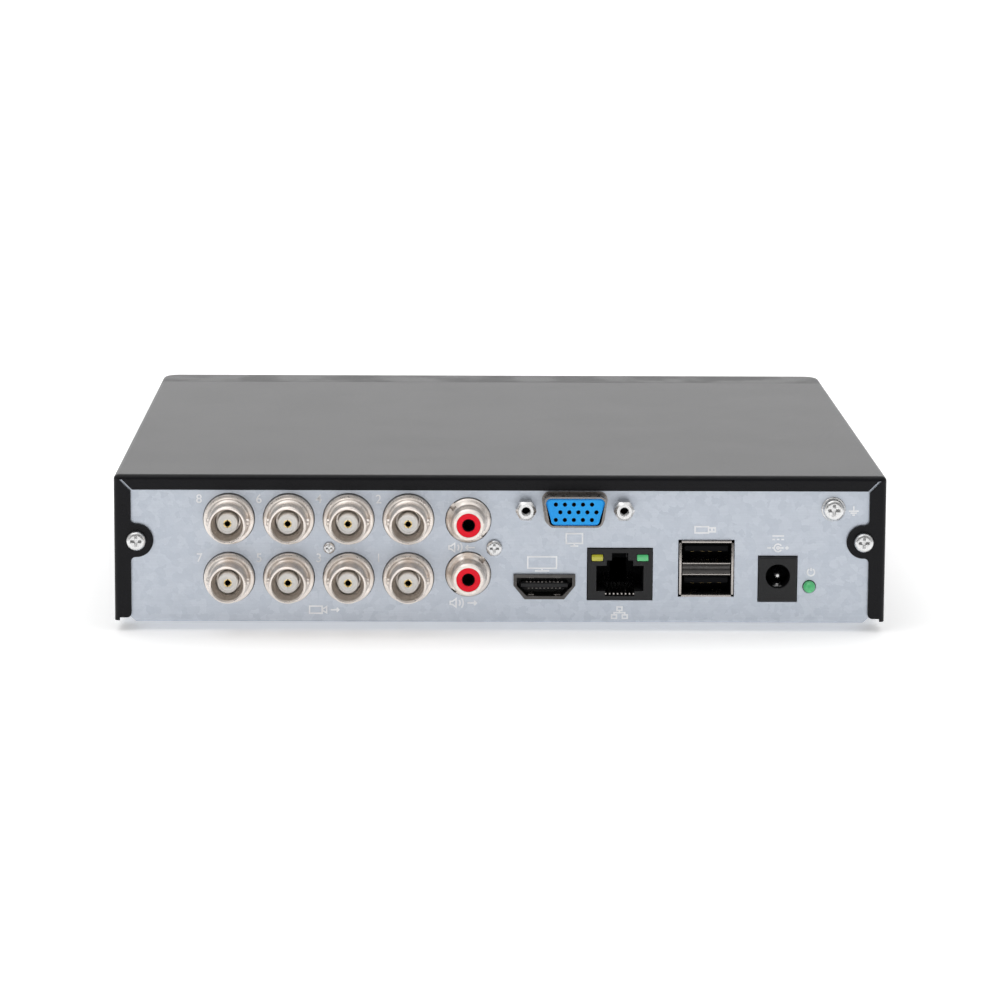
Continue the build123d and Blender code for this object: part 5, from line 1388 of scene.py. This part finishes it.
class RECORDER_OT_board_detail(bpy.types.Operator):
    """Adds the leads of the chips, their first-pin marks, and the small parts soldered round them."""
    bl_idname = "recorder.board_detail"
    bl_label = "Board detail"

    def execute(self, context):
        inside = context.scene.recorder_inside
        self.inside = inside
        self.chips = solid_boxes("board_chips")
        mesh_object("chip_leads", self.leads, "tin")
        mesh_object("chip_marks", self.first_pins, "front_ink")
        places = self.free_places(inside.small_parts)
        mesh_object("small_resistors", lambda shape: self.bodies(shape, places[::2], 0.45 * MM), "chip")
        mesh_object("small_capacitors", lambda shape: self.bodies(shape, places[1::2], 0.75 * MM), "ceramic")
        mesh_object("small_part_ends", lambda shape: self.ends(shape, places), "tin")
        return {"FINISHED"}

    def leads(self, shape):
        pitch, wide = self.inside.lead_pitch, self.inside.lead_pitch * 0.4
        two_sided, bare_ends = 6.5 * MM, 1.2 * MM
        for first, last in self.chips:
            centre, size = (first + last) / 2, last - first
            rise = size.z * 0.5
            for turn in (range(4) if min(size.x, size.y) > two_sided else (0, 2)):
                around = Matrix.Rotation(turn * math.pi / 2, 4, "Z")
                reach, run = (size.x, size.y) if turn % 2 == 0 else (size.y, size.x)
                count = int((run - bare_ends) / pitch) + 1
                for index in range(count):
                    along = (index - (count - 1) / 2) * pitch
                    stand = Matrix(((1, 0, 0, reach / 2), (0, 0, -1, along + wide / 2), (0, 1, 0, 0),
                                    (0, 0, 0, 1)))
                    place = Matrix.Translation((centre.x, centre.y, first.z)) @ around @ stand
                    add_gull_lead(shape, place, rise, wide)

    def first_pins(self, shape):
        radius, inset, film = 0.4 * MM, 1.2 * MM, 0.03 * MM
        for first, last in self.chips:
            add_lathe(shape, (first.x + inset, last.y - inset, last.z), UPRIGHT,
                      [(0, 0), (radius, 0), (radius, film), (0, film)], 20)

    def free_places(self, count):
        """Seeded places on the board that nothing else stands on: (x, y, turned)."""
        chance = random.Random(7)
        board, first, last = NODES["main_board"], low("main_board"), high("main_board")
        standing = ("board_chips", "board_capacitors", "board_inductors", "board_screws", "board_sockets",
                    "bnc_blocks", "audio_block", "monitor_port_block", "digital_port_shell", "network_jack",
                    "data_port_shell", "power_jack", "power_light", "heat_sink", "battery_holder", "buzzer",
                    "cable_plugs", "front_cable")
        taken = [box for node in standing for box in solid_boxes(node)]
        margin, apart = 1.4 * MM, 2.4 * MM
        places = []
        for _ in range(count * 20):
            x, y = chance.uniform(first.x, last.x), chance.uniform(first.y, last.y)
            x, y = round(x / MM) * MM, round(y / MM) * MM
            hits = [board.ray_cast((x + dx * margin, y + dy * margin, last.z + MM), (0, 0, -1),
                                   distance=2 * MM)[0]
                    for dx in (-1, 1) for dy in (-1, 1)]
            blocked = any(a.x - margin < x < b.x + margin and a.y - margin < y < b.y + margin
                          for a, b in taken)
            crowded = any(math.hypot(x - px, y - py) < apart for px, py, _ in places)
            if all(hits) and not blocked and not crowded:
                places.append((x, y, chance.random() < 0.5))
            if len(places) == count:
                break
        return places

    def bodies(self, shape, places, height):
        long_side, short_side, bevel = 1.0 * MM, 0.85 * MM, 0.06 * MM
        for x, y, turned in places:
            a, b = (short_side, long_side) if turned else (long_side, short_side)
            add_box(shape, (x - a / 2, y - b / 2, BOARD_TOP), (x + a / 2, y + b / 2, BOARD_TOP + height),
                    bevel)

    def ends(self, shape, places):
        reach, thick, wide, bevel = 0.68 * MM, 0.34 * MM, 0.9 * MM, 0.05 * MM
        low_height, high_height = 0.48 * MM, 0.78 * MM
        for index, (x, y, turned) in enumerate(places):
            height = high_height if index % 2 else low_height
            for side in (-1, 1):
                dx, dy = (0, side * reach) if turned else (side * reach, 0)
                a, b = (wide, thick) if turned else (thick, wide)
                add_box(shape, (x + dx - a / 2, y + dy - b / 2, BOARD_TOP),
                        (x + dx + a / 2, y + dy + b / 2, BOARD_TOP + height), bevel)


class RECORDER_OT_board_cans(bpy.types.Operator):
    """Rolls the capacitors: a crimped can with a sunk top, a dark sleeve band and a moulded base."""
    bl_idname = "recorder.board_cans"
    bl_label = "Capacitors"

    def execute(self, context):
        self.cans = solid_boxes("board_capacitors")
        mesh_object("capacitor_cans", self.bodies, "can", replaced=("board_capacitors",))
        mesh_object("capacitor_bases", self.bases, "chip")
        mesh_object("capacitor_bands", self.bands, "dark")
        return {"FINISHED"}

    def bodies(self, shape):
        for first, last in self.cans:
            radius, height = (last.x - first.x) / 2, last.z - first.z
            centre, crimp = (first + last) / 2, 0.14 * radius
            outline = [(0, 0), (radius, 0), (radius, 1.5 * MM), (radius - crimp, 1.9 * MM),
                       (radius - crimp, 2.2 * MM), (radius, 2.6 * MM), (radius, height - 0.5 * MM),
                       (radius - 0.15 * MM, height - 0.15 * MM), (radius - 0.5 * MM, height),
                       (radius - 0.8 * MM, height - 0.15 * MM), (0, height - 0.15 * MM)]
            add_lathe(shape, (centre.x, centre.y, first.z), UPRIGHT, outline, 48)

    def bases(self, shape):
        grow, tall, bevel = 0.15 * MM, 0.9 * MM, 0.25 * MM
        for first, last in self.cans:
            add_box(shape, (first.x - grow, first.y - grow, BOARD_TOP),
                    (last.x + grow, last.y + grow, BOARD_TOP + tall), bevel)

    def bands(self, shape):
        """The black segment on top that marks the negative side."""
        for first, last in self.cans:
            radius, centre = (last.x - first.x) / 2 - 0.85 * MM, (first + last) / 2
            place = Matrix.Translation((centre.x, centre.y, last.z - 0.15 * MM))
            add_prism(shape, ring_points(radius, 115, 245, 16), place, 0.03 * MM)


class RECORDER_OT_disk_detail(bpy.types.Operator):
    """Finishes the disk drive: a blank label, a foil seal, a breather filter and the ribbon to its arm."""
    bl_idname = "recorder.disk_detail"
    bl_label = "Disk drive"

    def execute(self, context):
        self.first, self.last = low("disk_lid"), high("disk_lid")
        mesh_object("disk_label", self.label, "paper")
        mesh_object("disk_foil_seal", self.seal, "aluminium")
        mesh_object("disk_breather", self.breather, "paper")
        mesh_object("disk_arm_ribbon", self.ribbon, "amber")
        return {"FINISHED"}

    def label(self, shape):
        """A plain label inside the lid's pressed pad at the end with the sockets."""
        film, depth, half = 0.06 * MM, 0.4 * MM, 30 * MM
        start, end = self.first.x + 11.5 * MM, self.first.x + 44.5 * MM
        centre_y = (self.first.y + self.last.y) / 2
        add_box(shape, (start, centre_y - half, self.last.z - depth),
                (end, centre_y + half, self.last.z - depth + film))

    def seal(self, shape):
        """A foil disc over the clock-head hole in the lid."""
        film, radius = 0.05 * MM, 3.6 * MM
        place = (self.first.x + LID_HOLE_X, self.first.y + LID_HOLE_INSET, self.last.z)
        add_lathe(shape, place, UPRIGHT, [(0, 0), (radius, 0), (radius, film), (0, film)], 40)

    def breather(self, shape):
        film, inner, outer = 0.08 * MM, 1.1 * MM, 3.2 * MM
        place = (self.first.x + LID_HOLE_X, self.last.y - LID_HOLE_INSET, self.last.z)
        add_lathe(shape, place, UPRIGHT, [(inner, 0), (outer, 0), (outer, film), (inner, film)], 40)

    def ribbon(self, shape):
        """A looped ribbon standing beside the magnets, inside the drive."""
        magnets = middle("disk_magnets")
        x, y = magnets.x + 4 * MM, high("disk_magnets").y + 6 * MM
        z, tall, thick = low("disk_magnets").z + 2 * MM, 4.5 * MM, 0.15 * MM
        radius, turn, steps = 3.4 * MM, 200, 14
        path = ring_points(radius, 0, turn, steps)
        inner = ring_points(radius - thick, turn, 0, steps)
        add_prism(shape, path + inner, Matrix.Translation((x, y, z)), tall)


class RECORDER_OT_stage(bpy.types.Operator):
    """Sets a pale floor, a plain bright background, soft lights and the camera."""
    bl_idname = "recorder.stage"
    bl_label = "Studio"

    def execute(self, context):
        scene, studio = context.scene, context.scene.recorder_studio
        self.floor(scene, studio)
        self.lights(scene, studio)
        self.camera(scene, studio)
        return {"FINISHED"}

    def floor(self, scene, studio):
        pale = Finish("pale_floor", studio.floor_colour, 0.75, Emission_Color=(1.0, 1.0, 1.0, 1.0),
                      Emission_Strength=studio.floor_glow)
        FINISHES["floor"] = pale.material
        grain = pale.use("grain", Size=0.002, Mottle_size=0.4)
        pale.tint(grain["Mottle"], shade(studio.floor_colour, 0.985))
        mesh = bpy.data.meshes.new("floor")
        shape = bmesh.new()
        bmesh.ops.create_grid(shape, x_segments=1, y_segments=1, size=6.0)
        shape.to_mesh(mesh)
        shape.free()
        mesh.materials.append(pale.material)
        ground = bpy.data.objects.new("floor", mesh)
        scene.collection.objects.link(ground)

    def room(self, tree, studio):
        """The studio that the metal mirrors: bright ahead, dimmer behind the camera and at both sides."""
        background = tree.nodes["Background"]
        background.inputs["Color"].default_value = (1.0, 1.0, 1.0, 1.0)
        direction = add_node(tree, "ShaderNodeTexCoord")
        apart = add_node(tree, "ShaderNodeSeparateXYZ")
        wire(tree, direction.outputs["Generated"], apart.inputs[0])
        x, y, z = apart.outputs
        depth = ramp(tree, y, -0.5, 0.6, studio.far_wall, studio.near_wall)
        sides = ramp(tree, arithmetic(tree, "ABSOLUTE", x), 0.45, 0.85, 1.0, studio.side_wall)
        ceiling = ramp(tree, z, 0.45, 0.85, 0.0, studio.ceiling)
        seen = arithmetic(tree, "ADD", arithmetic(tree, "MULTIPLY", depth, sides), ceiling)
        rays = add_node(tree, "ShaderNodeLightPath")
        seen_direct = rays.outputs["Is Camera Ray"]
        plain = arithmetic(tree, "MULTIPLY", seen_direct, studio.backdrop)
        mirrored = arithmetic(tree, "MULTIPLY", seen, arithmetic(tree, "SUBTRACT", 1.0, seen_direct))
        wire(tree, arithmetic(tree, "MAXIMUM", plain, mirrored), background.inputs["Strength"])

    def lights(self, scene, studio):
        world = bpy.data.worlds.new("white_room")
        scene.world = world
        world.use_nodes = True
        self.room(world.node_tree, studio)
        right_share = 0.7
        for name, place, size, power in (
                ("key_light", (0.5, 0.7, 1.3), 1.1, studio.key_power),
                ("left_fill", (1.3, 0.9, 0.5), 0.8, studio.fill_power),
                ("right_fill", (-1.3, 0.9, 0.5), 0.8, studio.fill_power * right_share)):
            data = bpy.data.lights.new(name, "AREA")
            data.shape = "SQUARE"
            data.size = size
            data.energy = power
            lamp = bpy.data.objects.new(name, data)
            lamp.location = place
            lamp.rotation_euler = (Vector((0, 0, 0)) - Vector(place)).to_track_quat("-Z", "Y").to_euler()
            scene.collection.objects.link(lamp)

    def camera(self, scene, studio):
        aim = Vector((studio.aim_side, LIP_Y, CASE_TOP - studio.aim_drop))
        turn, lift = studio.camera_turn, studio.camera_elevation
        away = Vector((math.sin(turn) * math.cos(lift), math.cos(turn) * math.cos(lift), math.sin(lift)))
        data = bpy.data.cameras.new("camera")
        data.lens = studio.focal_length
        data.sensor_width = 36.0
        data.clip_start = 0.05
        data.clip_end = 50.0
        camera = bpy.data.objects.new("camera", data)
        roll = Matrix.Rotation(studio.camera_roll, 3, "Z").to_quaternion()
        camera.rotation_euler = ((-away).to_track_quat("-Z", "Y") @ roll).to_euler()
        camera.location = aim + away * studio.camera_distance
        scene.collection.objects.link(camera)
        scene.camera = camera
        scene.view_settings.view_transform = "Standard"


OPERATORS = (
    RECORDER_OT_finishes,
    RECORDER_OT_channel_numbers,
    RECORDER_OT_panel_signs,
    RECORDER_OT_front_signs,
    RECORDER_OT_camera_sockets,
    RECORDER_OT_audio_sockets,
    RECORDER_OT_monitor_socket,
    RECORDER_OT_digital_socket,
    RECORDER_OT_data_sockets,
    RECORDER_OT_network_socket,
    RECORDER_OT_power_inlet,
    RECORDER_OT_feet,
    RECORDER_OT_board_detail,
    RECORDER_OT_board_cans,
    RECORDER_OT_disk_detail,
    RECORDER_OT_stage,
)


class RECORDER_PT_panel(bpy.types.Panel):
    """Lists the recorder's builders and their settings."""
    bl_label = "Video Recorder"
    bl_idname = "RECORDER_PT_panel"
    bl_space_type = "VIEW_3D"
    bl_region_type = "UI"
    bl_category = "Recorder"

    def draw(self, context):
        layout = self.layout
        for operator in OPERATORS:
            layout.operator(operator.bl_idname)
        for key, group in SETTINGS.items():
            box = layout.box()
            box.label(text=group.__name__)
            for name in group.__annotations__:
                box.prop(getattr(context.scene, key), name)


def register():
    for group in SETTINGS.values():
        bpy.utils.register_class(group)
    for key, group in SETTINGS.items():
        setattr(bpy.types.Scene, key, PointerProperty(type=group))
    for operator in OPERATORS:
        bpy.utils.register_class(operator)
    bpy.utils.register_class(RECORDER_PT_panel)


def unregister():
    bpy.utils.unregister_class(RECORDER_PT_panel)
    for operator in reversed(OPERATORS):
        bpy.utils.unregister_class(operator)
    for key in SETTINGS:
        delattr(bpy.types.Scene, key)
    for group in reversed(tuple(SETTINGS.values())):
        bpy.utils.unregister_class(group)


def main():
    register()
    for operator in OPERATORS:
        section, action = operator.bl_idname.split(".")
        getattr(getattr(bpy.ops, section), action)()


if __name__ == "__main__":
    main()
